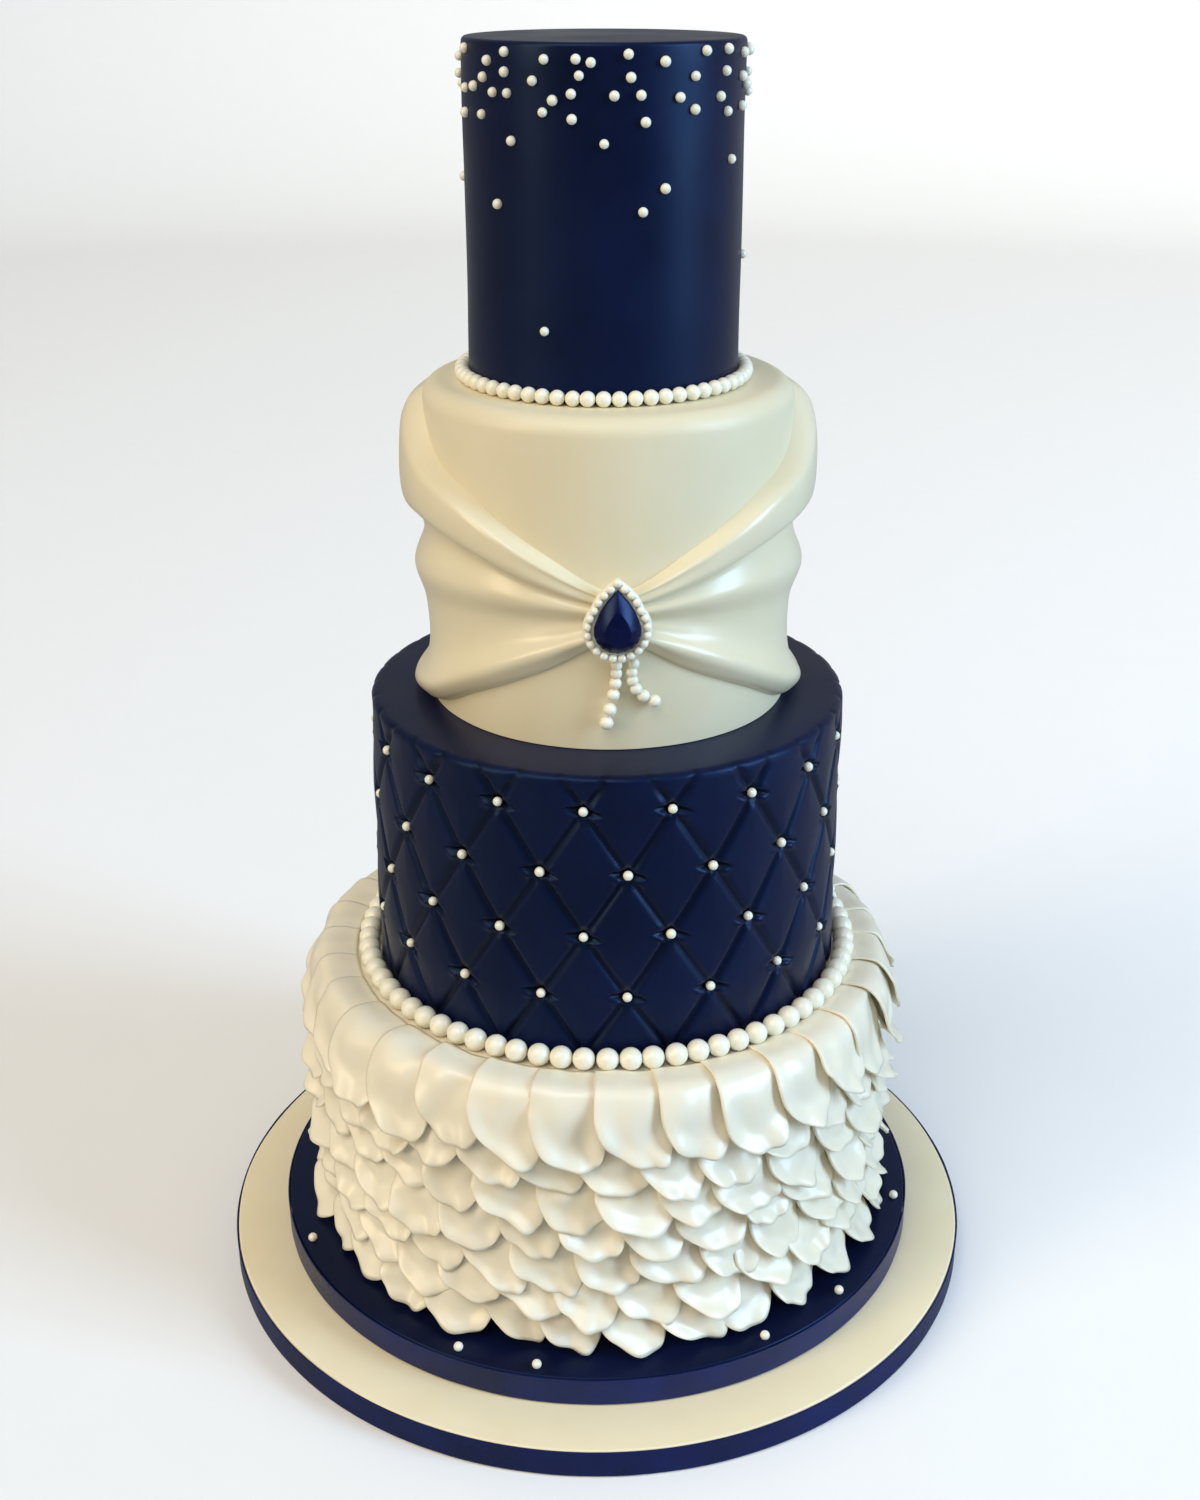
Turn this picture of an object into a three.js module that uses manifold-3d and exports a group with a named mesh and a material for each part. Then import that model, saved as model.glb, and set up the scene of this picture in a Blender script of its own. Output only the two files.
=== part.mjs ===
// A four-tier wedding cake in navy and ivory icing, on two round iced boards with ribbon edges.
// Sizes are in millimetres and +Z is up. The origin is the middle of the lower board's underside,
// and the brooch faces -Y. Angles run from the front, positive towards +X.
import * as THREE from "three";
import { mergeVertices } from "three/addons/utils/BufferGeometryUtils.js";
import Module from "manifold-3d";

const wasm = await Module();
wasm.setup();

// Clearance kept between pieces that touch.
const GAP = 0.3;

// Boards, from the table up.
const LOWER_BOARD = { radius: 178, base: 0, top: 13.8 };
const UPPER_BOARD = { radius: 152.2, base: LOWER_BOARD.top + GAP, top: 28.1 };
const BOARD_EDGE = 0.9;
const RIBBON_THICKNESS = 0.6;
const RIBBON_MARGIN = 0.6;
const BOARD_SIDES = 32;
const BOARD_PEARL = { radius: 2.1, ring: 146.5 };
const BOARD_PEARL_ANGLES = [-155, -131, -98, -65, -24, -10, 30, 48, 78, 107, 121, 149, 176];

// Tiers: each rests on the one below, and stands a few millimetres off the boards' axis.
const RUFFLED_TIER = { radius: 124, base: UPPER_BOARD.top + GAP, top: 156.2, shift: 2 };
const QUILTED_TIER = {
  footRadius: 105.3,
  topRadius: 103.6,
  base: RUFFLED_TIER.top + GAP,
  top: 285.8,
  shift: 4.5,
};
const DRAPED_TIER = { radius: 76.5, base: QUILTED_TIER.top + GAP, top: 420.8, shift: 5 };
const TOP_TIER = { radius: 54.7, base: DRAPED_TIER.top + GAP, top: 550.2, shift: 3 };

// Frills of the lowest tier: rows of short petals, and one row of long petals over the shoulder.
const PETALS_PER_ROW = 32;
const FRILL = { pitch: 16, firstRim: 30.4, reach: 14, notch: 8, notchRise: 7.5, tuck: 9, drop: 8, lean: 1.2 };
const FRILL_STAGGER = [0, 2, 1, 2, 0, 1];
const LONG_PETAL = { root: 116.6, rise: 2.4, tip: 126, reach: 139.5, notch: 4, notchRise: 9 };
const PETAL_SKEW = 2;
const FRILL_SEED = 11;

// Rings of beads round the feet of two tiers.
const LOWER_BEADS = { count: 72, radius: 4.7 };
const UPPER_BEADS = { count: 60, radius: 3.0 };
const BEAD_SIDES = 4;
const BEAD_NECK = 0.5;
const STRAND_SIDES = 4;

// Quilting of the second tier: a pearl at each crossing of the diagonal grooves.
const QUILT = { columns: 18, rows: 4, firstRow: 270.6, pitch: 28.1, phase: -5.4, puff: 2.2, edge: 2.2 };
const QUILT_PEARL = { radius: 2.2, sink: 0.2 };

// Drape round the third tier: folds that fan out from the brooch.
const DRAPE_SECTIONS = 40;
const SHEET = 1.5;
const DRAPE_LIP = 0.9;
const BROOCH_ANGLE = 2.2;
const BROOCH = { height: 340.3, plane: DRAPED_TIER.radius + 5.8 };
const JEWEL = { radius: 9.4, tip: 17, height: 6.2 };
const SURROUND = { radius: 13.6, tip: 21, thickness: 2.2 };
const SURROUND_BEADS = { count: 23, size: 1.55, radius: 11.8, tip: 19.3 };
const TEARDROP_FULLNESS = 0.1;

// Strings of beads that hang from the brooch, with routes as (angle, height) pairs.
const LONG_STRAND = { route: [[0, 325], [-0.6, 314], [-3.2, 297.4]], beads: 6, first: 2.2, last: 2.9 };
const SHORT_STRAND = {
  route: [[5.1, 325.5], [4.3, 319], [6.4, 312], [12, 307]],
  beads: 6,
  first: 2.1,
  last: 2.7,
};

// Pearls on the top tier: uneven rows under its top edge, then a few strays as (angle, height) pairs.
const TOP_PEARL = { radius: 2.05, sink: 0.35, spacing: 5.4, sway: 0.42, drift: 2.1, seed: 5 };
const TOP_PEARL_ROWS = [
  { height: 545, count: 27 },
  { height: 538.6, count: 22 },
  { height: 532, count: 29 },
  { height: 525, count: 18 },
];
const TOP_TIER_SIDES = 38;
const STRAY_PEARLS = [
  [-38, 516], [0, 516], [60, 508], [24, 500], [15, 492], [-46, 493], [-24, 448], [82, 470],
  [112, 514], [150, 499], [-118, 507], [-160, 474], [176, 515], [-96, 498], [128, 455],
];

const NAVY = 0x10163f;
const STONE_BLUE = 0x12173f;
const RIBBON_BLUE = 0x0b1450;
const IVORY = 0xece0c4;
const FRILL_WHITE = 0xeee8d8;
const PEARL_WHITE = 0xf3ecdc;

const rad = THREE.MathUtils.degToRad;

// A point on a cylinder about the tier's axis, at an angle in radians from the front.
function at(radius, angle, height) {
  return new THREE.Vector3(radius * Math.sin(angle), -radius * Math.cos(angle), height);
}

// A repeatable uneven number from 0 to 1 for each seed and index.
function chance(seed, index) {
  const wave = Math.sin(seed * 78.233 + index * 12.9898) * 43758.5453;
  return wave - Math.floor(wave);
}

// A closed geometry as a solid with its faces pointing out.
function solidOf(geometry) {
  const bare = new THREE.BufferGeometry();
  bare.setAttribute("position", geometry.getAttribute("position"));
  bare.setIndex(geometry.index);
  const merged = mergeVertices(bare, 1e-3);
  const source = merged.index.array;
  const triangles = [];
  for (let i = 0; i < source.length; i += 3) {
    const [a, b, c] = source.subarray(i, i + 3);
    if (a !== b && b !== c && c !== a) triangles.push(a, b, c);
  }
  const vertProperties = merged.attributes.position.array;
  const build = (order) => {
    const triVerts = new Uint32Array(order);
    return new wasm.Manifold(new wasm.Mesh({ numProp: 3, vertProperties, triVerts }));
  };
  const made = build(triangles);
  return made.volume() > 0 ? made : build(triangles.reverse());
}

// The geometry of a solid.
function geometryOf(solid) {
  const mesh = solid.getMesh();
  const geometry = new THREE.BufferGeometry();
  geometry.setAttribute("position", new THREE.BufferAttribute(mesh.vertProperties, 3));
  geometry.setIndex(new THREE.BufferAttribute(mesh.triVerts, 1));
  geometry.computeVertexNormals();
  return geometry;
}

// One solid joined from a list of geometries.
function joined(geometries) {
  return geometryOf(geometries.map(solidOf).reduce((whole, piece) => whole.add(piece)));
}

// A named piece with its own finish.
function piece(name, geometry, color, roughness) {
  const mesh = new THREE.Mesh(geometry, new THREE.MeshStandardMaterial({ color, roughness, metalness: 0 }));
  mesh.name = name;
  return mesh;
}

// A solid of revolution about Z, from (radius, height) pairs that start and end on the axis.
function turned(profile, sides) {
  const points = profile.map(([radius, height]) => new THREE.Vector2(radius, height));
  return new THREE.LatheGeometry(points, sides).rotateX(Math.PI / 2);
}

// A closed ring: the section has a fixed count of points, counter-clockwise with the radius to the right.
function ring(around, across, pointAt) {
  const geometry = new THREE.TorusGeometry(1, 0.5, across, around);
  const position = geometry.getAttribute("position");
  for (let index = 0; index < position.count; index++) {
    const i = (index % (around + 1)) % around;
    const j = Math.floor(index / (around + 1)) % across;
    position.setXYZ(index, ...pointAt(i, j).toArray());
  }
  return geometry;
}

// A closed skin of levels of points; each level goes round once, and the first and last are one point each.
function skin(around, levels, pointAt, slopes = () => false) {
  const profile = Array.from({ length: levels }, (_, j) => new THREE.Vector2(1, j));
  const geometry = new THREE.LatheGeometry(profile, around);
  const position = geometry.getAttribute("position");
  const index = [];
  for (let k = 0; k < position.count; k++) {
    const i = Math.floor(k / levels);
    const j = k % levels;
    position.setXYZ(k, ...pointAt(i % around, j).toArray());
    if (i === around || j === levels - 1) continue;
    const [a, b, c, d] = [k, k + levels, k + levels + 1, k + 1];
    if (slopes(i, j)) index.push(a, b, c, a, c, d);
    else index.push(a, b, d, c, d, b);
  }
  geometry.setIndex(index);
  return geometry;
}

// A small eight-sided pearl, half sunk in a wall that faces the given angle.
function pearl(radius, place, angle) {
  const bead = new THREE.OctahedronGeometry(1.2 * radius).rotateZ(angle);
  return bead.translate(place.x, place.y, place.z);
}

// An iced disc with a softened top edge.
function board({ radius, base, top }) {
  const icing = radius - RIBBON_THICKNESS - GAP;
  const edge = [[icing, top - BOARD_EDGE], [icing - BOARD_EDGE, top]];
  return turned([[0, base], [icing, base], ...edge, [0, top]], BOARD_SIDES);
}

// The ribbon round a board's edge.
function ribbon({ radius, base, top }) {
  const inner = radius - RIBBON_THICKNESS;
  const low = base + RIBBON_MARGIN;
  const high = top - RIBBON_MARGIN;
  const section = [[radius, low], [radius, high], [inner, high], [inner, low]];
  return ring(BOARD_SIDES, section.length, (i, j) => {
    const [reach, height] = section[j];
    return at(reach, rad((i * 360) / BOARD_SIDES), height);
  });
}

// The upper board with a sparse ring of pearls on its icing.
function pearledBoard() {
  const pearls = BOARD_PEARL_ANGLES.map(rad).map((angle) => {
    const place = at(BOARD_PEARL.ring, angle, UPPER_BOARD.top - 0.1);
    return pearl(BOARD_PEARL.radius, place, angle);
  });
  return joined([board(UPPER_BOARD), ...pearls]);
}

// How one petal differs from the next: three even shares from -0.5 to 0.5 for its reach, drop and lean.
function petalMood(row, petal) {
  return [0, 1, 2].map((draw) => chance(FRILL_SEED, 300 * row + 3 * petal + draw) - 0.5);
}

// One row of short petals, as (radius, height) pairs in each column: lip, belly and a root tucked upwards.
// Each petal has three columns: the notch beside it, then its left side, which lies over its neighbour.
function frillRow(row) {
  const columns = PETALS_PER_ROW * 3;
  const { radius } = RUFFLED_TIER;
  return Array.from({ length: columns }, (_, i) => {
    const column = (i + FRILL_STAGGER[row]) % columns;
    const [notch, left] = [column % 3 === 0, column % 3 === 1];
    const [reachMood, dropMood, leanMood] = petalMood(row, Math.floor(column / 3));
    const rim = FRILL.firstRim + row * FRILL.pitch + (row ? FRILL.drop : 0.6) * dropMood;
    const lean = (left ? 1 : -1) * FRILL.lean * (1 + leanMood);
    const out = notch ? FRILL.notch : FRILL.reach * (1 + 0.3 * reachMood) + lean;
    return [
      [radius + out, rim + (notch ? FRILL.notchRise : left ? PETAL_SKEW : 0)],
      [radius + 0.72 * out, rim + 0.62 * FRILL.pitch + (notch ? 2 : 0)],
      [radius + 1.2, rim + FRILL.pitch + FRILL.tuck],
    ];
  });
}

// The long petals in the same way: lip, hang, shoulder, shelf and a root beside the beads.
function shoulderRow() {
  const { top } = RUFFLED_TIER;
  return Array.from({ length: PETALS_PER_ROW * 3 }, (_, column) => {
    const [notch, left] = [column % 3 === 0, column % 3 === 1];
    const [reachMood, dropMood, leanMood] = petalMood(FRILL_STAGGER.length, Math.floor(column / 3));
    const reach = LONG_PETAL.reach + 2.6 * reachMood;
    const tip = LONG_PETAL.tip + 7 * dropMood;
    const inset = notch ? LONG_PETAL.notch : 0;
    const lean = notch ? 0 : (left ? 1 : -1) * FRILL.lean * (1 + leanMood);
    return [
      [reach - inset + lean, tip + (notch ? LONG_PETAL.notchRise : left ? PETAL_SKEW : 0)],
      [reach - inset - 1 + 0.5 * lean, tip + 14],
      [reach - 0.7 * inset - 4.5, top - 0.5 * inset - 3],
      [LONG_PETAL.root + 8, top - 0.4 * inset + LONG_PETAL.rise],
      [LONG_PETAL.root, top],
    ];
  });
}

// The lowest tier: six rows of short petals and one of long petals, as one wavy skin round the cake.
function ruffledTier() {
  const { radius, base, top } = RUFFLED_TIER;
  const columns = PETALS_PER_ROW * 3;
  const rows = [...FRILL_STAGGER.map((_, row) => frillRow(row)), shoulderRow()];
  const outline = Array.from({ length: columns }, (_, i) => [
    [0, base],
    [radius, base],
    ...rows.flatMap((row) => row[i]),
    [0, top],
  ]);
  return skin(columns, outline[0].length, (i, j) => {
    const [reach, height] = outline[i][j];
    return at(reach, (i / columns) * 2 * Math.PI, height);
  });
}

// A string of beads in a ring, thick at each bead and thin between beads.
function beadRing({ count, radius }, wallRadius, floorHeight) {
  const line = wallRadius + GAP + radius;
  return ring(2 * count, BEAD_SIDES, (i, j) => {
    const swell = i % 2 ? BEAD_NECK * radius : radius;
    const turn = (j / BEAD_SIDES) * 2 * Math.PI;
    const height = floorHeight + GAP + radius + swell * Math.sin(turn);
    return at(line + swell * Math.cos(turn), (i / (2 * count)) * 2 * Math.PI, height);
  });
}

// How far the quilting stands out, on a grid with four columns and four levels to each diamond.
function quiltPuff(column, level) {
  const rising = Math.abs(Math.sin(((column + level) * Math.PI) / 4));
  const falling = Math.abs(Math.sin(((column - level) * Math.PI) / 4));
  return QUILT.puff * Math.sqrt(rising * falling);
}

// Radius of the quilted tier's wall before quilting, which tapers a little upwards.
function quiltWall(height) {
  const { footRadius, topRadius, base, top } = QUILTED_TIER;
  return THREE.MathUtils.mapLinear(height, base, top, footRadius, topRadius) - QUILT.puff;
}

// The second tier: a wall of puffed diamonds with a pearl at each crossing.
function quiltedTier() {
  const { base, top } = QUILTED_TIER;
  const columns = 4 * QUILT.columns;
  const levels = 2 * QUILT.rows;
  const heights = [base];
  for (let level = levels - 1; level >= 0; level--) {
    heights.push(QUILT.firstRow - (level * QUILT.pitch) / 2);
  }
  heights.push(top - QUILT.edge);
  const levelOf = (j) => levels - (j - 1);
  const start = rad(QUILT.phase);
  const pointAt = (i, j) => {
    const angle = start + (i / columns) * 2 * Math.PI;
    if (j === 0) return at(0, angle, base);
    if (j === heights.length + 1) return at(quiltWall(top) + QUILT.puff - QUILT.edge, angle, top);
    if (j === heights.length + 2) return at(0, angle, top);
    const height = heights[j - 1];
    return at(quiltWall(height) + quiltPuff(i, levelOf(j)), angle, height);
  };
  // A pair of faces folds along the groove that crosses it.
  const slopes = (i, j) => (i + levelOf(j)) % 4 === 0;
  const pieces = [skin(columns, heights.length + 3, pointAt, slopes)];
  for (let row = 0; row < QUILT.rows; row++) {
    const height = QUILT.firstRow - row * QUILT.pitch;
    for (let k = 0; k < QUILT.columns; k++) {
      const angle = start + rad(((k + (row % 2) / 2) * 360) / QUILT.columns);
      pieces.push(pearl(QUILT_PEARL.radius, at(quiltWall(height) - QUILT_PEARL.sink, angle, height), angle));
    }
  }
  return joined(pieces);
}

// The third tier: plain, with a soft round top edge.
function drapedTier() {
  const { radius, base, top } = DRAPED_TIER;
  const edge = [[radius, top - 8], [radius - 2.4, top - 2.6], [radius - 9, top]];
  return turned([[0, base], [radius, base], ...edge, [0, top]], DRAPE_SECTIONS);
}

// Lines along the drape's folds, from the hem up to the upper edge: how far each stands off the tier, and its
// height, at equal shares of the way from the brooch to the side.
const DRAPE_HEM = [334, 317.5, 303, 289, 286.4];
const DRAPE_CREST = { out: [5.2, 5.4, 6.4, 7.4, 7.8], height: [338.5, 328, 313.5, 299, 291] };
const DRAPE_FOLDS = [
  DRAPE_CREST,
  { out: [SHEET], height: [340.5, 334, 323.5, 312.5, 303] },
  { out: [SHEET], height: [342.8, 341.2, 336.5, 331.5, 327] },
  { out: [5.2, 4.8, 5.2, 5.6, 5.8], height: [345, 348.2, 348.8, 347, 343.5] },
  { out: [3, 2.4, 1.8, 1.4, 1.2], height: [346.8, 352.5, 361.5, 365, 359.5] },
  { out: [3.8, 4.4, 5.8, 7.4, 8.8], height: [348, 356.5, 367, 373, 373] },
  { out: [4.6, 6.4, 8.2, 9.6, 10], height: [350, 362.5, 377.5, 388, 398] },
];
const DRAPE_EDGE = [352, 368, 384, 396, 414];

// The value a share of the way along evenly spaced numbers, on a smooth curve through them.
function along(numbers, share) {
  if (numbers.length === 1) return numbers[0];
  const curve = new THREE.SplineCurve(numbers.map((number, k) => new THREE.Vector2(k, number)));
  return curve.getPoint(share).y;
}

// The drape's section at a share of the way from the brooch to the side, up the outside and down the inside.
function drapeSection(share) {
  const floor = DRAPED_TIER.base + GAP;
  const hem = Math.max(along(DRAPE_HEM, share), floor);
  const folds = DRAPE_FOLDS.map(({ out, height }) => [along(out, share), along(height, share)]);
  const [crestOut, crestHeight] = folds[0];
  const underside = [0.66 * crestOut, THREE.MathUtils.lerp(hem, crestHeight, 0.25)];
  const edge = along(DRAPE_EDGE, share);
  const inside = [[GAP + 0.1, edge - 1.5], [GAP + 0.1, hem + 1]];
  return [[DRAPE_LIP, hem], underside, ...folds, [DRAPE_LIP, edge], ...inside];
}

// The drape: one closed ring whose section has three folds, gathered at the front.
function drape() {
  const lines = drapeSection(0).length;
  return ring(DRAPE_SECTIONS, lines, (i, j) => {
    const turn = i / DRAPE_SECTIONS;
    const share = Math.min(4 * Math.min(turn, 1 - turn), 1);
    const [out, height] = drapeSection(share)[j];
    return at(DRAPED_TIER.radius + out, turn * 2 * Math.PI, height);
  });
}

// Distance from a teardrop's centre to its outline: a circle with two full flanks that meet at a tip.
function teardrop(radius, tip, angle) {
  const tangent = Math.acos(radius / tip);
  const turn = Math.abs(Math.atan2(Math.sin(angle), Math.cos(angle)));
  if (turn >= tangent) return radius;
  const fullness = 1 + TEARDROP_FULLNESS * Math.sin((turn / tangent) * Math.PI);
  return (fullness * radius) / Math.cos(tangent - turn);
}

// A teardrop standing on the brooch's plane: profile pairs give the share of the outline and the height.
function teardropSolid(radius, tip, profile, sides) {
  const points = profile.map(([share, height]) => new THREE.Vector2(share, height));
  const solid = new THREE.LatheGeometry(points, sides);
  const position = solid.getAttribute("position");
  for (let k = 0; k < position.count; k++) {
    const angle = Math.atan2(position.getX(k), position.getZ(k));
    const scale = teardrop(radius, tip, angle);
    position.setX(k, position.getX(k) * scale);
    position.setZ(k, position.getZ(k) * scale);
  }
  return solid.rotateZ(Math.PI).translate(0, -BROOCH.plane, BROOCH.height);
}

// The brooch's stone, a domed teardrop.
function jewel() {
  const foot = SURROUND.thickness + GAP;
  const { height } = JEWEL;
  const profile = [[0, foot], [1, foot], [0.97, foot + 1.2], [0.62, foot + 0.8 * height], [0, foot + height]];
  return teardropSolid(JEWEL.radius, JEWEL.tip, profile, 16);
}

// The plate behind the stone, with a line of small beads round it.
function surround() {
  const plate = [[0, 0], [1, 0], [1, SURROUND.thickness], [0, SURROUND.thickness]];
  const pieces = [teardropSolid(SURROUND.radius, SURROUND.tip, plate, 16)];
  const outline = [];
  const steps = 360;
  for (let k = 0; k <= steps; k++) {
    const angle = (k / steps) * 2 * Math.PI;
    const reach = teardrop(SURROUND_BEADS.radius, SURROUND_BEADS.tip, angle);
    outline.push(new THREE.Vector3(reach * Math.sin(angle), 0, reach * Math.cos(angle)));
  }
  const line = new THREE.CurvePath();
  for (let k = 0; k < steps; k++) line.add(new THREE.LineCurve3(outline[k], outline[k + 1]));
  for (let k = 0; k < SURROUND_BEADS.count; k++) {
    const place = line.getPointAt(k / SURROUND_BEADS.count);
    place.add(new THREE.Vector3(0, 0.1 - BROOCH.plane - SURROUND.thickness, BROOCH.height));
    pieces.push(pearl(SURROUND_BEADS.size, place, 0));
  }
  return joined(pieces);
}

// A hanging string of beads that lie on the tier's wall.
function strand({ route, beads, first, last }) {
  const curve = new THREE.CatmullRomCurve3(
    route.map(([angle, height]) => at(DRAPED_TIER.radius + GAP + 0.2 + last, rad(angle), height)),
  );
  const levels = 2 * beads + 1;
  const out = new THREE.Vector3(0, -1, 0);
  return skin(STRAND_SIDES, levels, (i, j) => {
    const share = j / (levels - 1);
    const centre = curve.getPoint(share);
    if (j === 0 || j === levels - 1) return centre;
    const along = curve.getTangent(share);
    const side = new THREE.Vector3().crossVectors(out, along).normalize();
    const swell = THREE.MathUtils.lerp(first, last, share) * (j % 2 ? 1 : BEAD_NECK);
    const turn = (i / STRAND_SIDES) * 2 * Math.PI;
    return centre.addScaledVector(side, swell * Math.cos(turn)).addScaledVector(out, swell * Math.sin(turn));
  });
}

// Places of the top tier's pearls, as (angle in radians, height) pairs; one too near another is left out.
function topPearls() {
  const wanted = STRAY_PEARLS.map(([angle, height]) => [rad(angle), height]);
  TOP_PEARL_ROWS.forEach(({ height, count }, row) => {
    for (let k = 0; k < count; k++) {
      const sway = TOP_PEARL.sway * (2 * chance(TOP_PEARL.seed, 100 * row + 2 * k) - 1);
      const drift = TOP_PEARL.drift * (2 * chance(TOP_PEARL.seed, 100 * row + 2 * k + 1) - 1);
      wanted.push([((k + 0.5 * (row % 2) + sway) * 2 * Math.PI) / count, height + drift]);
    }
  });
  const places = wanted.map(([angle, height]) => at(TOP_TIER.radius, angle, height));
  const isClear = (k) => places.slice(0, k).every((other) => other.distanceTo(places[k]) > TOP_PEARL.spacing);
  return wanted.filter((_, k) => isClear(k));
}

// The top tier: plain, with pearls scattered under its top edge.
function topTier() {
  const { radius, base, top } = TOP_TIER;
  const edge = [[radius, top - 2], [radius - 1.8, top]];
  const pearls = topPearls().map(([angle, height]) => {
    return pearl(TOP_PEARL.radius, at(radius - TOP_PEARL.sink, angle, height), angle);
  });
  return joined([turned([[0, base], [radius, base], ...edge, [0, top]], TOP_TIER_SIDES), ...pearls]);
}

// A tier's own frame, moved off the boards' axis.
function tierGroup({ shift }, ...pieces) {
  const group = new THREE.Group();
  group.position.x = shift;
  group.add(...pieces);
  return group;
}

const cake = new THREE.Group();
cake.add(
  piece("board_lower", board(LOWER_BOARD), IVORY, 0.6),
  piece("ribbon_lower", ribbon(LOWER_BOARD), RIBBON_BLUE, 0.35),
  piece("board_upper", pearledBoard(), NAVY, 0.55),
  piece("ribbon_upper", ribbon(UPPER_BOARD), RIBBON_BLUE, 0.35),
);
cake.add(tierGroup(RUFFLED_TIER, piece("tier_ruffled", ruffledTier(), FRILL_WHITE, 0.4)));
cake.add(tierGroup(
  QUILTED_TIER,
  piece("beads_lower", beadRing(LOWER_BEADS, QUILTED_TIER.footRadius, RUFFLED_TIER.top), PEARL_WHITE, 0.35),
  piece("tier_quilted", quiltedTier(), NAVY, 0.45),
));
const draped = tierGroup(
  DRAPED_TIER,
  piece("tier_draped", drapedTier(), IVORY, 0.4),
  piece("drape", drape(), IVORY, 0.35),
  piece("jewel", jewel(), STONE_BLUE, 0.2),
  piece("jewel_surround", surround(), PEARL_WHITE, 0.35),
  piece("strand_long", strand(LONG_STRAND), PEARL_WHITE, 0.35),
  piece("strand_short", strand(SHORT_STRAND), PEARL_WHITE, 0.35),
);
draped.rotation.z = rad(BROOCH_ANGLE);
cake.add(draped);
cake.add(tierGroup(
  TOP_TIER,
  piece("beads_upper", beadRing(UPPER_BEADS, TOP_TIER.radius, DRAPED_TIER.top), PEARL_WHITE, 0.35),
  piece("tier_top", topTier(), NAVY, 0.4),
));

export default cake;
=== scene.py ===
"""The looks of a tiered wedding cake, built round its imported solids.

Sizes are in millimetres, as on a cake maker's sketch, and every finished mesh is scaled to metres.
+Z is up and the brooch faces -Y. Angles run from the front, positive towards +X.
"""

import logging
import math
from collections.abc import Callable, Iterable, Sequence
from dataclasses import dataclass, field
from enum import Enum

import bmesh
import bpy
from mathutils import Matrix, Vector, noise


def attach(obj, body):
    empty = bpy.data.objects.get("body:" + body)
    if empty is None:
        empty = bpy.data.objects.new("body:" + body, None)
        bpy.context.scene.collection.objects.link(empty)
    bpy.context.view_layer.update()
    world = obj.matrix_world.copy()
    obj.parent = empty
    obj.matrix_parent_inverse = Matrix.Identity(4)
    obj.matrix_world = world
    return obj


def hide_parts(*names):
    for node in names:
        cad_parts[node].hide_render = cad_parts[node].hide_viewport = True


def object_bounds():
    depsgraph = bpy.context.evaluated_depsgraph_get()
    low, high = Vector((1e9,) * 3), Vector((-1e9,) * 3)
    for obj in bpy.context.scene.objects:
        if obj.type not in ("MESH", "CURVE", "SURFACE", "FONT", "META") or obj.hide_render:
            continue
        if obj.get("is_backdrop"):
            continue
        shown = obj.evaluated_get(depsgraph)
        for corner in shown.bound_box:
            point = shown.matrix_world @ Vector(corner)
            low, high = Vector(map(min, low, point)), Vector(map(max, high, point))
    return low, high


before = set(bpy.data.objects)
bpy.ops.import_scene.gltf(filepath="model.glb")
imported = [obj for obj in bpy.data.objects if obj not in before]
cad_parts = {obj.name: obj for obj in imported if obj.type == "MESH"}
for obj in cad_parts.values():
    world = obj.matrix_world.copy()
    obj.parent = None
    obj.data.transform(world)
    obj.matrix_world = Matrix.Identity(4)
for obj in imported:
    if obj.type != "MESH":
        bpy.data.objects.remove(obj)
solid_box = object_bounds()

log = logging.getLogger("cake")

MM = 0.001
GAP = 0.3

Pair = tuple[float, float]
Colour = tuple[float, float, float]


class Slot(Enum):
    """The record's material slots."""

    IVORY_ICING = "ivory_icing"
    IVORY_SATIN = "ivory_satin"
    FRILL_ICING = "frill_icing"
    NAVY_ICING = "navy_icing"
    RIBBON = "ribbon"
    PEARLS = "pearls"
    JEWEL = "jewel"


class PaintedLight(Enum):
    """Shares from 0 to 1 that a mesh keeps for the painted light and shade in its finish."""

    # A painted warm glow at the petals' thin lips, standing in for light through them and for warm glints.
    LIP = "lip"
    # Painted shade in the quilting's grooves and in the slits round its pearls.
    PRESSED = "crease_shade"


class Shading(Enum):
    """How a mesh's faces meet in the light: the angle over which an edge stays sharp, in degrees."""

    SOFT = 180.0
    CRISP = 38.0


def at(radius: float, angle: float, height: float) -> Vector:
    """A point on a cylinder about the axis.

    Args:
        radius: Distance from the axis.
        angle: Angle from the front, in radians.
        height: Height above the table.

    Returns:
        The point.
    """
    return Vector((radius * math.sin(angle), -radius * math.cos(angle), height))


def polar(point: Vector) -> Pair:
    """Radius and angle from the front of a point, in radians."""
    return math.hypot(point.x, point.y), math.atan2(point.x, -point.y)


def chance(seed: int, index: int) -> float:
    """A repeatable uneven number from 0 to 1.

    Args:
        seed: Names the series of numbers.
        index: Place in the series.

    Returns:
        The number.
    """
    wave = math.sin(seed * 78.233 + index * 12.9898) * 43758.5453
    return wave - math.floor(wave)


def lerp(start: float, end: float, share: float) -> float:
    """The value a share of the way from start to end."""
    return start + (end - start) * share


def smoothstep(low: float, high: float, value: float) -> float:
    """0 at low, 1 at high, and a smooth rise between."""
    share = min(max((value - low) / (high - low), 0.0), 1.0)
    return share * share * (3.0 - 2.0 * share)


def bell(distance: float, width: float) -> float:
    """A smooth bump: 1 at no distance, and nearly 0 two widths away."""
    return math.exp(-((distance / width) ** 2))


def arc(centre: Pair, radius: float, start: float, stop: float, steps: int) -> list[Pair]:
    """Points on an arc in a profile.

    Args:
        centre: Radius and height of the arc's centre.
        radius: The arc's own radius.
        start: First angle in degrees, 0 outwards and 90 up.
        stop: Last angle in degrees.
        steps: Number of spans.

    Returns:
        The points, both ends included.
    """
    turns = [math.radians(lerp(start, stop, k / steps)) for k in range(steps + 1)]
    return [(centre[0] + radius * math.cos(a), centre[1] + radius * math.sin(a)) for a in turns]


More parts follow.
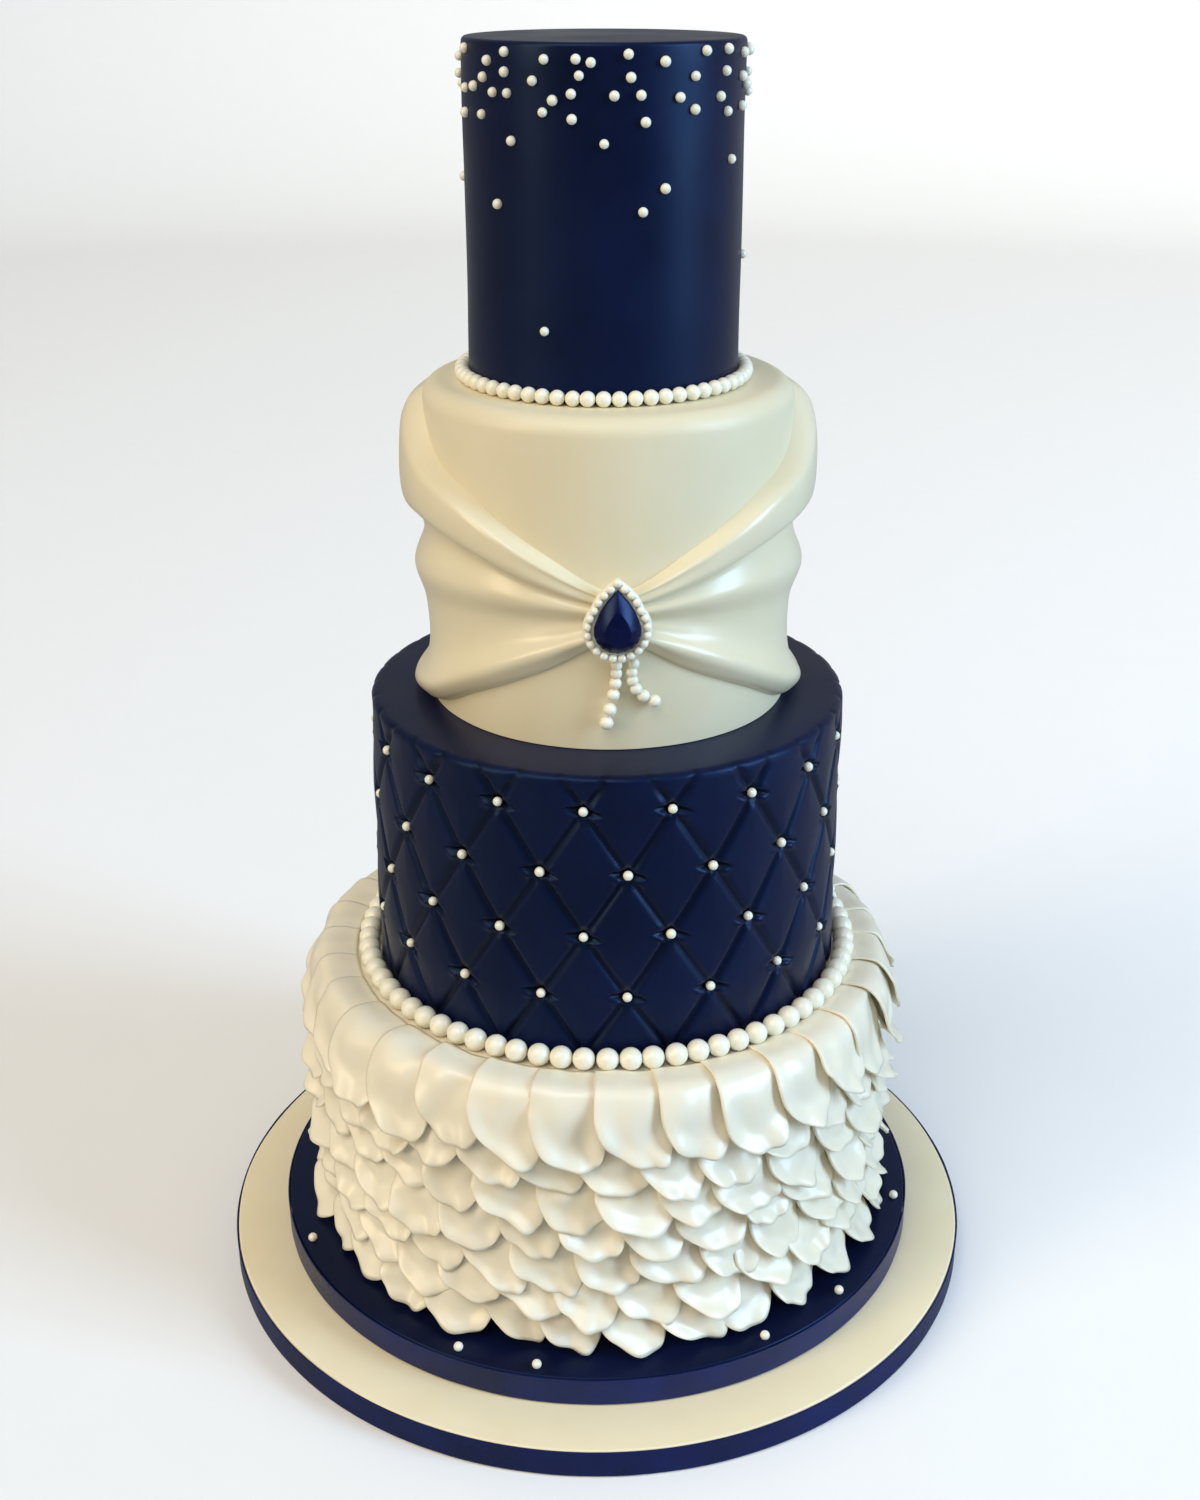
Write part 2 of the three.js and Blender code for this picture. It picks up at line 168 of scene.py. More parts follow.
def spline(knots: Sequence[Pair], share: float) -> Pair:
    """A point on a smooth curve through all knots.

    Args:
        knots: The knots, evenly spaced in share.
        share: Way along the curve, from 0 to 1.

    Returns:
        The point.
    """
    spans = len(knots) - 1
    span = min(int(share * spans), spans - 1)
    t = share * spans - span
    a, b, c, d = (knots[min(max(span + k, 0), spans)] for k in (-1, 0, 1, 2))

    def blend(axis: int) -> float:
        """The cubic through the four knots in one axis."""
        bend = 2 * a[axis] - 5 * b[axis] + 4 * c[axis] - d[axis]
        twist = 3 * (b[axis] - c[axis]) + d[axis] - a[axis]
        return b[axis] + 0.5 * t * (c[axis] - a[axis] + t * (bend + t * twist))

    return blend(0), blend(1)


def lathe(bm: bmesh.types.BMesh, profile: Sequence[Pair], steps: int, closed: bool = False) -> None:
    """Spins a profile all the way round the axis.

    Args:
        bm: The mesh to add to.
        profile: Radius and height pairs.
        steps: Number of spans round the axis.
        closed: Whether the profile's last point joins its first.
    """
    verts = [bm.verts.new(at(radius, 0.0, height)) for radius, height in profile]
    pairs = list(zip(verts, verts[1:]))
    if closed:
        pairs.append((verts[-1], verts[0]))
    edges = [bm.edges.new(pair) for pair in pairs]
    bmesh.ops.spin(
        bm, geom=verts + edges, cent=(0, 0, 0), axis=(0, 0, 1), dvec=(0, 0, 0),
        angle=math.tau, space=Matrix.Identity(4), steps=steps, use_merge=True, use_duplicate=False,
    )
    bmesh.ops.remove_doubles(bm, verts=bm.verts, dist=0.002)
    bmesh.ops.recalc_face_normals(bm, faces=bm.faces)


def uneven(bm: bmesh.types.BMesh, amount: float, size: float, seed: float) -> None:
    """Gives a smoothed surface the slight unevenness of handwork, in and out from the axis.

    Args:
        bm: The mesh to change.
        amount: Largest move.
        size: Rough width of a swell.
        seed: Shifts the pattern.
    """
    for vert in bm.verts:
        radius, _ = polar(vert.co)
        if radius < 1.0:
            continue
        swell = noise.noise(vert.co / size + Vector((seed, 0.0, 0.0)))
        scale = 1.0 + amount * swell / radius
        vert.co.x *= scale
        vert.co.y *= scale


def balls(bm: bmesh.types.BMesh, places: Iterable[tuple[Vector, float]], rounds: int) -> None:
    """Adds a ball at each place.

    Args:
        bm: The mesh to add to.
        places: Centre and radius of each ball.
        rounds: How often the starting shape is subdivided.
    """
    for centre, radius in places:
        bmesh.ops.create_icosphere(
            bm, subdivisions=rounds, radius=radius, matrix=Matrix.Translation(centre)
        )


def finished(
    bm: bmesh.types.BMesh,
    name: str,
    material: bpy.types.Material,
    shading: Shading = Shading.SOFT,
    place: Matrix = Matrix.Identity(4),
) -> bpy.types.Object:
    """Turns a modelled mesh into an object in metres.

    Args:
        bm: The mesh, which is freed.
        name: The object's name.
        material: Its only material.
        shading: How its faces meet.
        place: Where it goes, in millimetres.

    Returns:
        The object, at the origin with its place in its mesh.
    """
    bmesh.ops.transform(bm, matrix=Matrix.Scale(MM, 4) @ place, verts=bm.verts)
    mesh = bpy.data.meshes.new(name)
    bm.to_mesh(mesh)
    bm.free()
    for face in mesh.polygons:
        face.use_smooth = True
    if shading is not Shading.SOFT:
        mesh.set_sharp_from_angle(angle=math.radians(shading.value))
    mesh.materials.append(material)
    piece = bpy.data.objects.new(name, mesh)
    bpy.context.scene.collection.objects.link(piece)
    return piece


def hand_over(piece: bpy.types.Object, node: str) -> None:
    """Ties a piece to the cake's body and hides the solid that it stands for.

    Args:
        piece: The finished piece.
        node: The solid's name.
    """
    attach(piece, "root")
    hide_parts(node)
    log.info("%s stands for %s with %d faces", piece.name, node, len(piece.data.polygons))


class NodeBench:
    """Adds nodes to a tree and joins them."""

    def __init__(self, tree: bpy.types.NodeTree) -> None:
        """Starts on an empty tree."""
        self.tree = tree
        self.tree.nodes.clear()

    def add(self, kind: str, **settings: object) -> bpy.types.Node:
        """Adds a node.

        Args:
            kind: The node's type name, without its prefix.
            settings: The node's own properties.

        Returns:
            The node.
        """
        node = self.tree.nodes.new("ShaderNode" + kind)
        for key, value in settings.items():
            setattr(node, key, value)
        return node

    def join(self, source: bpy.types.NodeSocket, target: bpy.types.NodeSocket) -> None:
        """Links one socket to another."""
        self.tree.links.new(source, target)

    def ends(self) -> tuple[bpy.types.Node, bpy.types.Node]:
        """A group's input and output nodes."""
        return self.tree.nodes.new("NodeGroupInput"), self.tree.nodes.new("NodeGroupOutput")

    def noise_at(self, point: bpy.types.NodeSocket, scale: float, detail: float) -> bpy.types.Node:
        """Adds a noise texture.

        Args:
            point: The socket that gives the place.
            scale: Swells for each metre.
            detail: Number of finer layers.

        Returns:
            The texture node.
        """
        texture = self.add("TexNoise")
        texture.inputs["Scale"].default_value = scale
        texture.inputs["Detail"].default_value = detail
        self.join(point, texture.inputs["Vector"])
        return texture

    def between(self, value: bpy.types.NodeSocket, low: float, high: float) -> bpy.types.Node:
        """Adds a node that spreads the middle of a noise from low to high.

        Args:
            value: The noise's socket.
            low: The result at its low end.
            high: The result at its high end.

        Returns:
            The node, whose first output is the result.
        """
        spread = self.add("MapRange")
        for socket, number in zip(spread.inputs[1:5], (0.3, 0.7, low, high)):
            socket.default_value = number
        self.join(value, spread.inputs["Value"])
        return spread


def new_group(name: str, inputs: dict[str, object], outputs: dict[str, str]) -> bpy.types.NodeTree:
    """Makes a shader node group with named sockets.

    Args:
        name: The group's name.
        inputs: A default for each input: a number, or a colour with four parts.
        outputs: A socket type for each output.

    Returns:
        The group.
    """
    group = bpy.data.node_groups.new(name, "ShaderNodeTree")
    for label, default in inputs.items():
        kind = "NodeSocketFloat" if isinstance(default, float) else "NodeSocketColor"
        socket = group.interface.new_socket(name=label, in_out="INPUT", socket_type=kind)
        socket.default_value = default
    for label, kind in outputs.items():
        group.interface.new_socket(name=label, in_out="OUTPUT", socket_type=kind)
    return group


class IcingTouch:
    """A node group for hand-smoothed icing: soft patches of tone, fine grain and a matching relief."""

    NAME = "icing_touch"

    @classmethod
    def group(cls) -> bpy.types.NodeTree:
        """The group, made on first use."""
        made = bpy.data.node_groups.get(cls.NAME)
        if made:
            return made
        made = new_group(
            cls.NAME,
            {
                "Colour": (1.0, 1.0, 1.0, 1.0), "Deep colour": (0.8, 0.8, 0.8, 1.0),
                "Patch scale": 30.0, "Grain scale": 900.0, "Roughness": 0.5, "Swing": 0.08,
            },
            {"Colour": "NodeSocketColor", "Roughness": "NodeSocketFloat", "Height": "NodeSocketFloat"},
        )
        bench = NodeBench(made)
        given, out = bench.ends()
        place = bench.add("TexCoord").outputs["Object"]
        patches = bench.noise_at(place, 30.0, 4.0)
        bench.join(given.outputs["Patch scale"], patches.inputs["Scale"])
        grain = bench.noise_at(place, 900.0, 2.0)
        bench.join(given.outputs["Grain scale"], grain.inputs["Scale"])
        mask = bench.between(patches.outputs[0], 0.0, 1.0)
        mix = bench.add("Mix", data_type="RGBA")
        bench.join(mask.outputs[0], mix.inputs["Factor"])
        bench.join(given.outputs["Colour"], mix.inputs[6])
        bench.join(given.outputs["Deep colour"], mix.inputs[7])
        bench.join(mix.outputs[2], out.inputs["Colour"])
        swing = bench.add("Math", operation="MULTIPLY_ADD")
        bench.join(mask.outputs[0], swing.inputs[0])
        bench.join(given.outputs["Swing"], swing.inputs[1])
        bench.join(given.outputs["Roughness"], swing.inputs[2])
        bench.join(swing.outputs[0], out.inputs["Roughness"])
        relief = bench.add("Math", operation="MULTIPLY_ADD")
        relief.inputs[1].default_value = 0.16
        bench.join(grain.outputs[0], relief.inputs[0])
        bench.join(patches.outputs[0], relief.inputs[2])
        bench.join(relief.outputs[0], out.inputs["Height"])
        return made


class SatinWeave:
    """A node group for satin ribbon: fine threads along the ribbon and slow changes of sheen."""

    NAME = "satin_weave"

    @classmethod
    def group(cls) -> bpy.types.NodeTree:
        """The group, made on first use."""
        made = bpy.data.node_groups.get(cls.NAME)
        if made:
            return made
        made = new_group(
            cls.NAME,
            {"Colour": (0.0, 0.0, 1.0, 1.0), "Painted sheen colour": (0.0, 0.0, 0.5, 1.0), "Threads": 1800.0},
            {"Colour": "NodeSocketColor", "Roughness": "NodeSocketFloat", "Height": "NodeSocketFloat"},
        )
        bench = NodeBench(made)
        given, out = bench.ends()
        place = bench.add("TexCoord").outputs["Object"]
        threads = bench.add("TexWave", wave_type="BANDS", bands_direction="Z")
        threads.inputs["Distortion"].default_value = 0.6
        bench.join(place, threads.inputs["Vector"])
        bench.join(given.outputs["Threads"], threads.inputs["Scale"])
        sheen = bench.noise_at(place, 26.0, 3.0)
        # Mixes in a brighter blue in slow patches: painted sheen.
        mix = bench.add("Mix", data_type="RGBA")
        bench.join(bench.between(sheen.outputs[0], 0.0, 1.0).outputs[0], mix.inputs["Factor"])
        bench.join(given.outputs["Colour"], mix.inputs[6])
        bench.join(given.outputs["Painted sheen colour"], mix.inputs[7])
        bench.join(mix.outputs[2], out.inputs["Colour"])
        bench.join(bench.between(sheen.outputs[0], 0.24, 0.36).outputs[0], out.inputs["Roughness"])
        bench.join(threads.outputs["Fac"], out.inputs["Height"])
        return made


@dataclass(frozen=True)
class Gloss:
    """The parts of a finish that are the same all over it."""

    specular: float = 0.5
    coat: float = 0.0
    coat_roughness: float = 0.2
    subsurface: float = 0.0
    anisotropy: float = 0.0
    tint: Colour = (1.0, 1.0, 1.0)

    def apply(self, shader: bpy.types.Node) -> None:
        """Sets the values on a Principled shader's own sockets."""
        shader.inputs["Specular IOR Level"].default_value = self.specular
        shader.inputs["Specular Tint"].default_value = (*self.tint, 1.0)
        shader.inputs["Coat Weight"].default_value = self.coat
        shader.inputs["Coat Roughness"].default_value = self.coat_roughness
        shader.inputs["Subsurface Weight"].default_value = self.subsurface
        shader.inputs["Subsurface Scale"].default_value = 3 * MM
        shader.inputs["Subsurface Radius"].default_value = (1.0, 0.8, 0.55)
        shader.inputs["Anisotropic"].default_value = self.anisotropy


def start_material(name: str, gloss: Gloss) -> tuple[bpy.types.Material, NodeBench, bpy.types.Node]:
    """Makes a material with one Principled shader.

    Args:
        name: The material's name.
        gloss: The values that are the same all over it.

    Returns:
        The material, the bench for its nodes, and the shader.
    """
    material = bpy.data.materials.new(name)
    material.use_nodes = True
    bench = NodeBench(material.node_tree)
    shader = bench.add("BsdfPrincipled")
    gloss.apply(shader)
    out = bench.add("OutputMaterial")
    bench.join(shader.outputs[0], out.inputs["Surface"])
    return material, bench, shader


def add_bump(
    bench: NodeBench, shader: bpy.types.Node, height: bpy.types.NodeSocket, depth: float
) -> None:
    """Turns a height into a fine relief on a shader.

    Args:
        bench: The material's nodes.
        shader: The shader that gets the relief.
        height: The height's socket.
        depth: Depth of the relief, in millimetres.
    """
    bump = bench.add("Bump")
    bump.inputs["Strength"].default_value = 1.0
    bump.inputs["Distance"].default_value = depth * MM
    bench.join(height, bump.inputs["Height"])
    bench.join(bump.outputs[0], shader.inputs["Normal"])


@dataclass(frozen=True)
class IcingFinish:
    """Rolled sugar icing: soft tone, fine grain, and painted light or shade where a mesh is marked for it.
    """

    name: str
    colour: Colour
    deep: Colour
    roughness: float
    swing: float
    relief: float
    gloss: Gloss
    patch_scale: float = 30.0
    grain_scale: float = 900.0
    painted_light_mask: PaintedLight | None = None
    painted_light_colour: Colour = (0.0, 0.0, 0.0)

    def material(self) -> bpy.types.Material:
        """Makes the material."""
        material, bench, shader = start_material(self.name, self.gloss)
        touch = bench.add("Group", node_tree=IcingTouch.group())
        touch.inputs["Colour"].default_value = (*self.colour, 1.0)
        touch.inputs["Deep colour"].default_value = (*self.deep, 1.0)
        touch.inputs["Patch scale"].default_value = self.patch_scale
        touch.inputs["Grain scale"].default_value = self.grain_scale
        touch.inputs["Roughness"].default_value = self.roughness
        touch.inputs["Swing"].default_value = self.swing
        colour = touch.outputs["Colour"]
        # Where the mesh keeps a share, the colour is mixed towards a painted light or shade colour.
        if self.painted_light_mask:
            share = bench.add("Attribute", attribute_name=self.painted_light_mask.value)
            mix = bench.add("Mix", data_type="RGBA")
            mix.inputs[7].default_value = (*self.painted_light_colour, 1.0)
            bench.join(share.outputs["Fac"], mix.inputs["Factor"])
            bench.join(colour, mix.inputs[6])
            colour = mix.outputs[2]
        bench.join(colour, shader.inputs["Base Color"])
        bench.join(touch.outputs["Roughness"], shader.inputs["Roughness"])
        add_bump(bench, shader, touch.outputs["Height"], self.relief)
        return material


@dataclass(frozen=True)
class RibbonFinish:
    """Glossy satin ribbon."""

    name: str
    colour: Colour
    painted_sheen: Colour
    gloss: Gloss

    def material(self) -> bpy.types.Material:
        """Makes the material."""
        material, bench, shader = start_material(self.name, self.gloss)
        weave = bench.add("Group", node_tree=SatinWeave.group())
        weave.inputs["Colour"].default_value = (*self.colour, 1.0)
        weave.inputs["Painted sheen colour"].default_value = (*self.painted_sheen, 1.0)
        bench.join(weave.outputs["Colour"], shader.inputs["Base Color"])
        bench.join(weave.outputs["Roughness"], shader.inputs["Roughness"])
        add_bump(bench, shader, weave.outputs["Height"], 0.02)
        return material


@dataclass(frozen=True)
class PaperFinish:
    """Matt studio paper, pale to the eye and duller in the light that it throws back on the cake."""

    seen: Colour = (0.99, 0.985, 0.975)
    seen_deep: Colour = (0.98, 0.975, 0.965)
    thrown: Colour = (0.42, 0.42, 0.41)

    def material(self) -> bpy.types.Material:
        """Makes the material."""
        material, bench, shader = start_material("studio_paper", Gloss(specular=0.05))
        touch = bench.add("Group", node_tree=IcingTouch.group())
        touch.inputs["Colour"].default_value = (*self.seen, 1.0)
        touch.inputs["Deep colour"].default_value = (*self.seen_deep, 1.0)
        path = bench.add("LightPath")
        mix = bench.add("Mix", data_type="RGBA")
        mix.inputs[6].default_value = (*self.thrown, 1.0)
        bench.join(path.outputs["Is Camera Ray"], mix.inputs["Factor"])
        bench.join(touch.outputs["Colour"], mix.inputs[7])
        bench.join(mix.outputs[2], shader.inputs["Base Color"])
        shader.inputs["Roughness"].default_value = 0.9
        return material


@dataclass(frozen=True)
class Finishes:
    """Every finish on the cake, made once."""

    board: bpy.types.Material
    ivory: bpy.types.Material
    satin: bpy.types.Material
    frill: bpy.types.Material
    navy: bpy.types.Material
    ribbon: bpy.types.Material
    pearl: bpy.types.Material
    stone: bpy.types.Material

    @classmethod
    def mixed(cls) -> "Finishes":
        """Makes all finishes."""
        soft = Gloss(specular=0.4, coat=0.1, coat_roughness=0.3, subsurface=0.1)
        return cls(
            # A lighter copy of the ivory icing: painted light that makes up for the shade the lower board
            # sits in.
            board=IcingFinish(
                "board_icing_painted_light", (0.94, 0.83, 0.58), (0.91, 0.79, 0.53), 0.42, 0.08, 0.05, soft
            ).material(),
            ivory=IcingFinish(
                "ivory_icing", (0.82, 0.735, 0.52), (0.79, 0.70, 0.47), 0.40, 0.08, 0.05, soft
            ).material(),
            satin=IcingFinish(
                "ivory_satin_icing", (0.83, 0.745, 0.53), (0.80, 0.71, 0.48), 0.28, 0.08, 0.05,
                Gloss(specular=0.5, coat=0.25, coat_roughness=0.18, subsurface=0.1),
            ).material(),
            # The lip colour, a shade warmer, is a painted glow of light through the thin lips and painted
            # warm glints.
            frill=IcingFinish(
                "frill_icing", (0.91, 0.84, 0.67), (0.90, 0.81, 0.61), 0.32, 0.1, 0.08,
                Gloss(coat=0.3, coat_roughness=0.22, subsurface=0.1),
                patch_scale=60.0, painted_light_mask=PaintedLight.LIP, painted_light_colour=(0.92, 0.84, 0.65),
            ).material(),
            # The near-black second colour is painted shade in the grooves and slits.
            navy=IcingFinish(
                "navy_icing", (0.0025, 0.004, 0.022), (0.004, 0.007, 0.036), 0.32, 0.12, 0.07,
                Gloss(specular=0.29, tint=(0.30, 0.55, 1.0)), patch_scale=22.0,
                painted_light_mask=PaintedLight.PRESSED, painted_light_colour=(0.001, 0.0015, 0.006),
            ).material(),
            # The second colour is a brighter blue for painted sheen.
            ribbon=RibbonFinish(
                "navy_ribbon", (0.003, 0.006, 0.045), (0.006, 0.014, 0.11),
                Gloss(specular=0.3, anisotropy=0.4, tint=(0.5, 0.7, 1.0)),
            ).material(),
            pearl=IcingFinish(
                "pearl_icing", (0.93, 0.89, 0.75), (0.91, 0.86, 0.68), 0.28, 0.08, 0.03,
                Gloss(specular=0.5, coat=0.4, coat_roughness=0.2, subsurface=0.3), patch_scale=160.0,
            ).material(),
            stone=IcingFinish(
                "brooch_stone", (0.0015, 0.002, 0.022), (0.003, 0.004, 0.045), 0.22, 0.1, 0.05,
                Gloss(specular=0.3, tint=(0.3, 0.5, 1.0)), patch_scale=120.0,
            ).material(),
        )


@dataclass(frozen=True)
class IcedBoard:
    """A round drum board under icing, with a satin ribbon round its edge."""

    name: str
    radius: float
    base: float
    top: float
    slot: Slot
    seed: float
    edge: float = 0.9
    ribbon_thickness: float = 0.6
    ribbon_margin: float = 0.6
    pearl_radius: float = 2.1
    pearl_ring: float = 146.5
    pearl_angles: tuple[float, ...] = ()
    steps: int = 180

    def icing(self, material: bpy.types.Material) -> bpy.types.Object:
        """Makes the board under its icing.

        Args:
            material: The icing.

        Returns:
            The piece.
        """
        wall = self.radius - self.ribbon_thickness - GAP
        rings = [(wall * share, self.top) for share in (0.9, 0.8, 0.6, 0.4, 0.2, 0.0)]
        profile = [(0.0, self.base), (wall, self.base)]
        profile += arc((wall - self.edge, self.top - self.edge), self.edge, 0, 90, 5)
        bm = bmesh.new()
        lathe(bm, profile + rings, self.steps)
        uneven(bm, 0.5, 60.0, self.seed)
        return finished(bm, "icing_" + self.name, material, Shading.CRISP)

    def ribbon(self, material: bpy.types.Material) -> bpy.types.Object:
        """Makes the ribbon, a thin band with slight ripples and a lapped end at the back.

        Args:
            material: The satin.

        Returns:
            The piece.
        """
        low = self.base + self.ribbon_margin
        high = self.top - self.ribbon_margin
        inner = self.radius - self.ribbon_thickness
        rows = 6
        outside = [(self.radius, lerp(low, high, k / rows)) for k in range(rows + 1)]
        bm = bmesh.new()
        lathe(bm, [(inner, low), *outside, (inner, high)], self.steps * 2, closed=True)
        for vert in bm.verts:
            radius, angle = polar(vert.co)
            lap = smoothstep(math.radians(171), math.radians(171.4), angle) * 0.5
            ripple = 0.14 * noise.noise(Vector((angle * 9, self.seed, vert.co.z * 0.12)))
            vert.co.xy *= 1 + (lap + ripple if radius > inner + 0.1 else 0.0) / radius
        return finished(bm, "satin_" + self.name, material, Shading.CRISP)

    def pearls(self, material: bpy.types.Material) -> bpy.types.Object:
        """Makes the sparse ring of pearls on the icing.

        Args:
            material: The pearls' finish.

        Returns:
            The piece.
        """
        bm = bmesh.new()
        height = self.top + 0.75 * self.pearl_radius
        spots = [at(self.pearl_ring, math.radians(angle), height) for angle in self.pearl_angles]
        balls(bm, [(spot, self.pearl_radius) for spot in spots], 3)
        return finished(bm, "pearls_" + self.name, material)

    def build(self, icing: bpy.types.Material, finishes: Finishes) -> None:
        """Builds the board's pieces.

        Args:
            icing: The board's own icing.
            finishes: The cake's finishes.
        """
        hand_over(self.icing(icing), "board_" + self.name)
        hand_over(self.ribbon(finishes.ribbon), "ribbon_" + self.name)
        if self.pearl_angles:
            hand_over(self.pearls(finishes.pearl), "board_" + self.name)


@dataclass(frozen=True)
class BeadRing:
    """A ring of beads round the foot of a tier."""

    name: str
    count: int
    radius: float
    wall: float
    floor: float
    shift: float
    seed: int

    def build(self, material: bpy.types.Material) -> None:
        """Builds the ring.

        Args:
            material: The beads' finish.
        """
        places = []
        for k in range(self.count):
            radius = self.radius * (1.015 + 0.03 * chance(self.seed, k))
            turn = (k + 0.06 * (chance(self.seed + 1, k) - 0.5)) * math.tau / self.count
            spot = at(self.wall + GAP + self.radius, turn, self.floor + self.radius)
            places.append((spot, radius))
        bm = bmesh.new()
        balls(bm, places, 3)
        place = Matrix.Translation((self.shift, 0, 0))
        piece = finished(bm, "ring_" + self.name, material, place=place)
        hand_over(piece, self.name)


@dataclass(frozen=True)
class Mood:
    """How one petal differs from the next: shares from -0.5 to 0.5."""

    reach: float
    drop: float
    lean: float
    index: int

    @classmethod
    def of(cls, row: int, petal: int) -> "Mood":
        """The mood of one petal.

        Args:
            row: The petal's row, from the lowest.
            petal: Its place in the row.

        Returns:
            The mood.
        """
        draws = [chance(11, 300 * row + 3 * petal + draw) - 0.5 for draw in range(3)]
        return cls(*draws, index=1000 * row + 20 * petal)

    def extra(self, draw: int) -> float:
        """One more share from -0.5 to 0.5 for the finer shape."""
        return chance(23, self.index + draw) - 0.5


@dataclass(frozen=True)
class FrilledTier:
    """The lowest tier, under rows of thin petals that curl out at the lip."""

    radius: float = 124.0
    base: float = 28.4
    top: float = 156.2
    shift: float = 2.0
    per_row: int = 32
    pitch: float = 16.0
    first_rim: float = 30.4
    length: float = 25.0
    drop: float = 8.0
    fullness: float = 9.6
    flare: float = 4.6
    ripple_out: float = 1.7
    ripple_drop: float = 0.35
    round_end: float = 16.5
    short_straight: float = 0.25
    long_straight: float = 0.5
    stagger: tuple[int, ...] = (0, 2, 1, 2, 0, 1)
    long_root: float = 113.6
    long_reach: float = 139.5
    long_tip: float = 126.0
    thickness: float = 1.1
    across: int = 26
    down: int = 12

    def core(self, material: bpy.types.Material) -> bpy.types.Object:
        """Makes the iced cake behind the petals.

        Args:
            material: The icing.

        Returns:
            The piece.
        """
        wall = self.radius - 1.0
        rings = [(wall * share, self.top) for share in (0.9, 0.6, 0.3, 0.0)]
        profile = [(0.0, self.base), (wall, self.base)]
        profile += arc((wall - 4.0, self.top - 4.0), 4.0, 0, 90, 6)
        bm = bmesh.new()
        lathe(bm, profile + rings, 120)
        return finished(bm, "frill_core", material, Shading.CRISP, Matrix.Translation((self.shift, 0, 0)))

    def belly(self, above: float) -> float:
        """How far a short petal's belly stands out at a height above its rim."""
        rise = max(above - 6.0, 0.0) / (self.length - 5.8)
        return self.fullness * math.sqrt(max(1 - rise * rise, 0.02))

    @staticmethod
    def rounded(u: float, lower: float) -> Pair:
        """Way across and down in a petal's round end, from the ways across and down its sheet."""
        return u * math.sqrt(1 - 0.5 * lower * lower), lower * math.sqrt(1 - 0.5 * u * u)

    @staticmethod
    def lip(mood: Mood, x: float, y: float) -> tuple[float, float, float]:
        """The lip at a place in a petal's round end.

        Args:
            mood: The petal's differences.
            x: Way across, from -1 to 1.
            y: Way down the round end, from 0 to 1.

        Returns:
            Nearness to the lower lip, its share of the outward curl, and its ripple from -1 to 1.
        """
        reach = math.hypot(x, y)
        near = smoothstep(0.45, 1.0, reach) * (0.25 + 0.75 * y / max(reach, 0.01))
        turn = math.atan2(x, y)
        slow = math.sin(3.4 * turn + 6.28 * mood.extra(2))
        quick = math.sin((7.0 + 3.0 * mood.extra(4)) * turn + 6.28 * mood.extra(3))
        return near, near ** 1.5, 0.6 * slow + 0.55 * near * quick

    def short_point(self, row: int, mood: Mood, centre: float, u: float, v: float) -> Vector:
        """A point on a short petal, whose left side lies over its neighbour.

        Args:
            row: The petal's row.
            mood: The petal's differences.
            centre: Angle of its middle, in radians.
            u: Way across, from -1 to 1.
            v: Way down, from 0 at the root to 1 at the lip.

        Returns:
            The point.
        """
        start = self.short_straight
        x, y = self.rounded(u, max(0.0, (v - start) / (1 - start)))
        near, curl, ripple = self.lip(mood, x, y)
        body = smoothstep(0.0, 0.35, v)
        dent = noise.noise(Vector((1.5 * x + mood.index, 1.8 * y, 0.5)))
        rim = self.first_rim + row * self.pitch + (self.drop if row else 0.6) * mood.drop
        above = self.round_end * (1 - y) + (self.length - self.round_end) * max(0.0, 1 - v / start)
        radius = self.radius + self.belly(above) * (1 + 0.3 * mood.reach)
        radius += self.flare * (1 + 0.8 * mood.reach) * curl + self.ripple_out * near * ripple
        radius += body * (x * (1.6 * mood.lean - 2.3) + 2.0 * dent) - 2.2 * body * (1 - near) * x * x
        tilt = (6.0 * mood.extra(7) - 2.6) * x * y
        height = rim + above + tilt - self.ripple_drop * near * ripple
        half = math.pi / self.per_row * (1.22 + 0.3 * mood.extra(1))
        angle = centre + half * (x + (0.26 + 0.4 * mood.extra(9)) * y * y + 0.2 * mood.extra(8))
        return at(radius, angle, max(height, self.base + self.thickness))

    def long_point(self, mood: Mood, centre: float, u: float, v: float) -> Vector:
        """A point on a long petal, which starts beside the beads and hangs over the shoulder.

        Args:
            mood: The petal's differences.
            centre: Angle of its middle, in radians.
            u: Way across, from -1 to 1.
            v: Way down, from 0 at the root to 1 at the lip.

        Returns:
            The point.
        """
        tip = self.long_tip + 7.0 * mood.drop
        reach = self.long_reach - self.flare + 2.6 * mood.reach
        knots = [
            (self.long_root, self.top + 0.6),
            (self.long_root + 7.5, self.top + 1.9),
            (self.long_root + 14.5, self.top + 1.2),
            (reach - 2.6, self.top - 2.6),
            (reach - 0.2, self.top - 9.5),
            (reach + 0.6, tip + 13.0),
            (reach + 1.0, tip + 6.0),
            (reach + 1.4, tip),
        ]
        start = self.long_straight
        x, y = self.rounded(u, max(0.0, (v - start) / (1 - start)))
        near, curl, ripple = self.lip(mood, x, y)
        free = smoothstep(0.3, 0.6, v)
        near *= free
        curl *= free
        hang = smoothstep(0.22, 0.5, v)
        dent = noise.noise(Vector((1.5 * x + mood.index, 2.6 * v, 2.5)))
        radius, height = spline(knots, min(v, start) + (1 - start) * y)
        radius += self.flare * (1 + 0.6 * mood.reach) * curl + self.ripple_out * near * ripple
        radius += hang * (x * (1.4 * mood.lean - 2.4) + 1.9 * dent) - 1.6 * hang * (1 - near) * x * x
        height += (1 - hang) * (0.9 * dent - x * (0.3 + 3.0 * v))
        height += (5.0 * mood.extra(6) - 3.4) * x * y - self.ripple_drop * near * ripple
        half = math.pi / self.per_row * (1.24 + 0.16 * mood.extra(1))
        skew = (0.3 + 0.3 * mood.extra(9)) * y * y
        return at(radius, centre + half * (x + skew + 0.12 * mood.extra(8)), height)

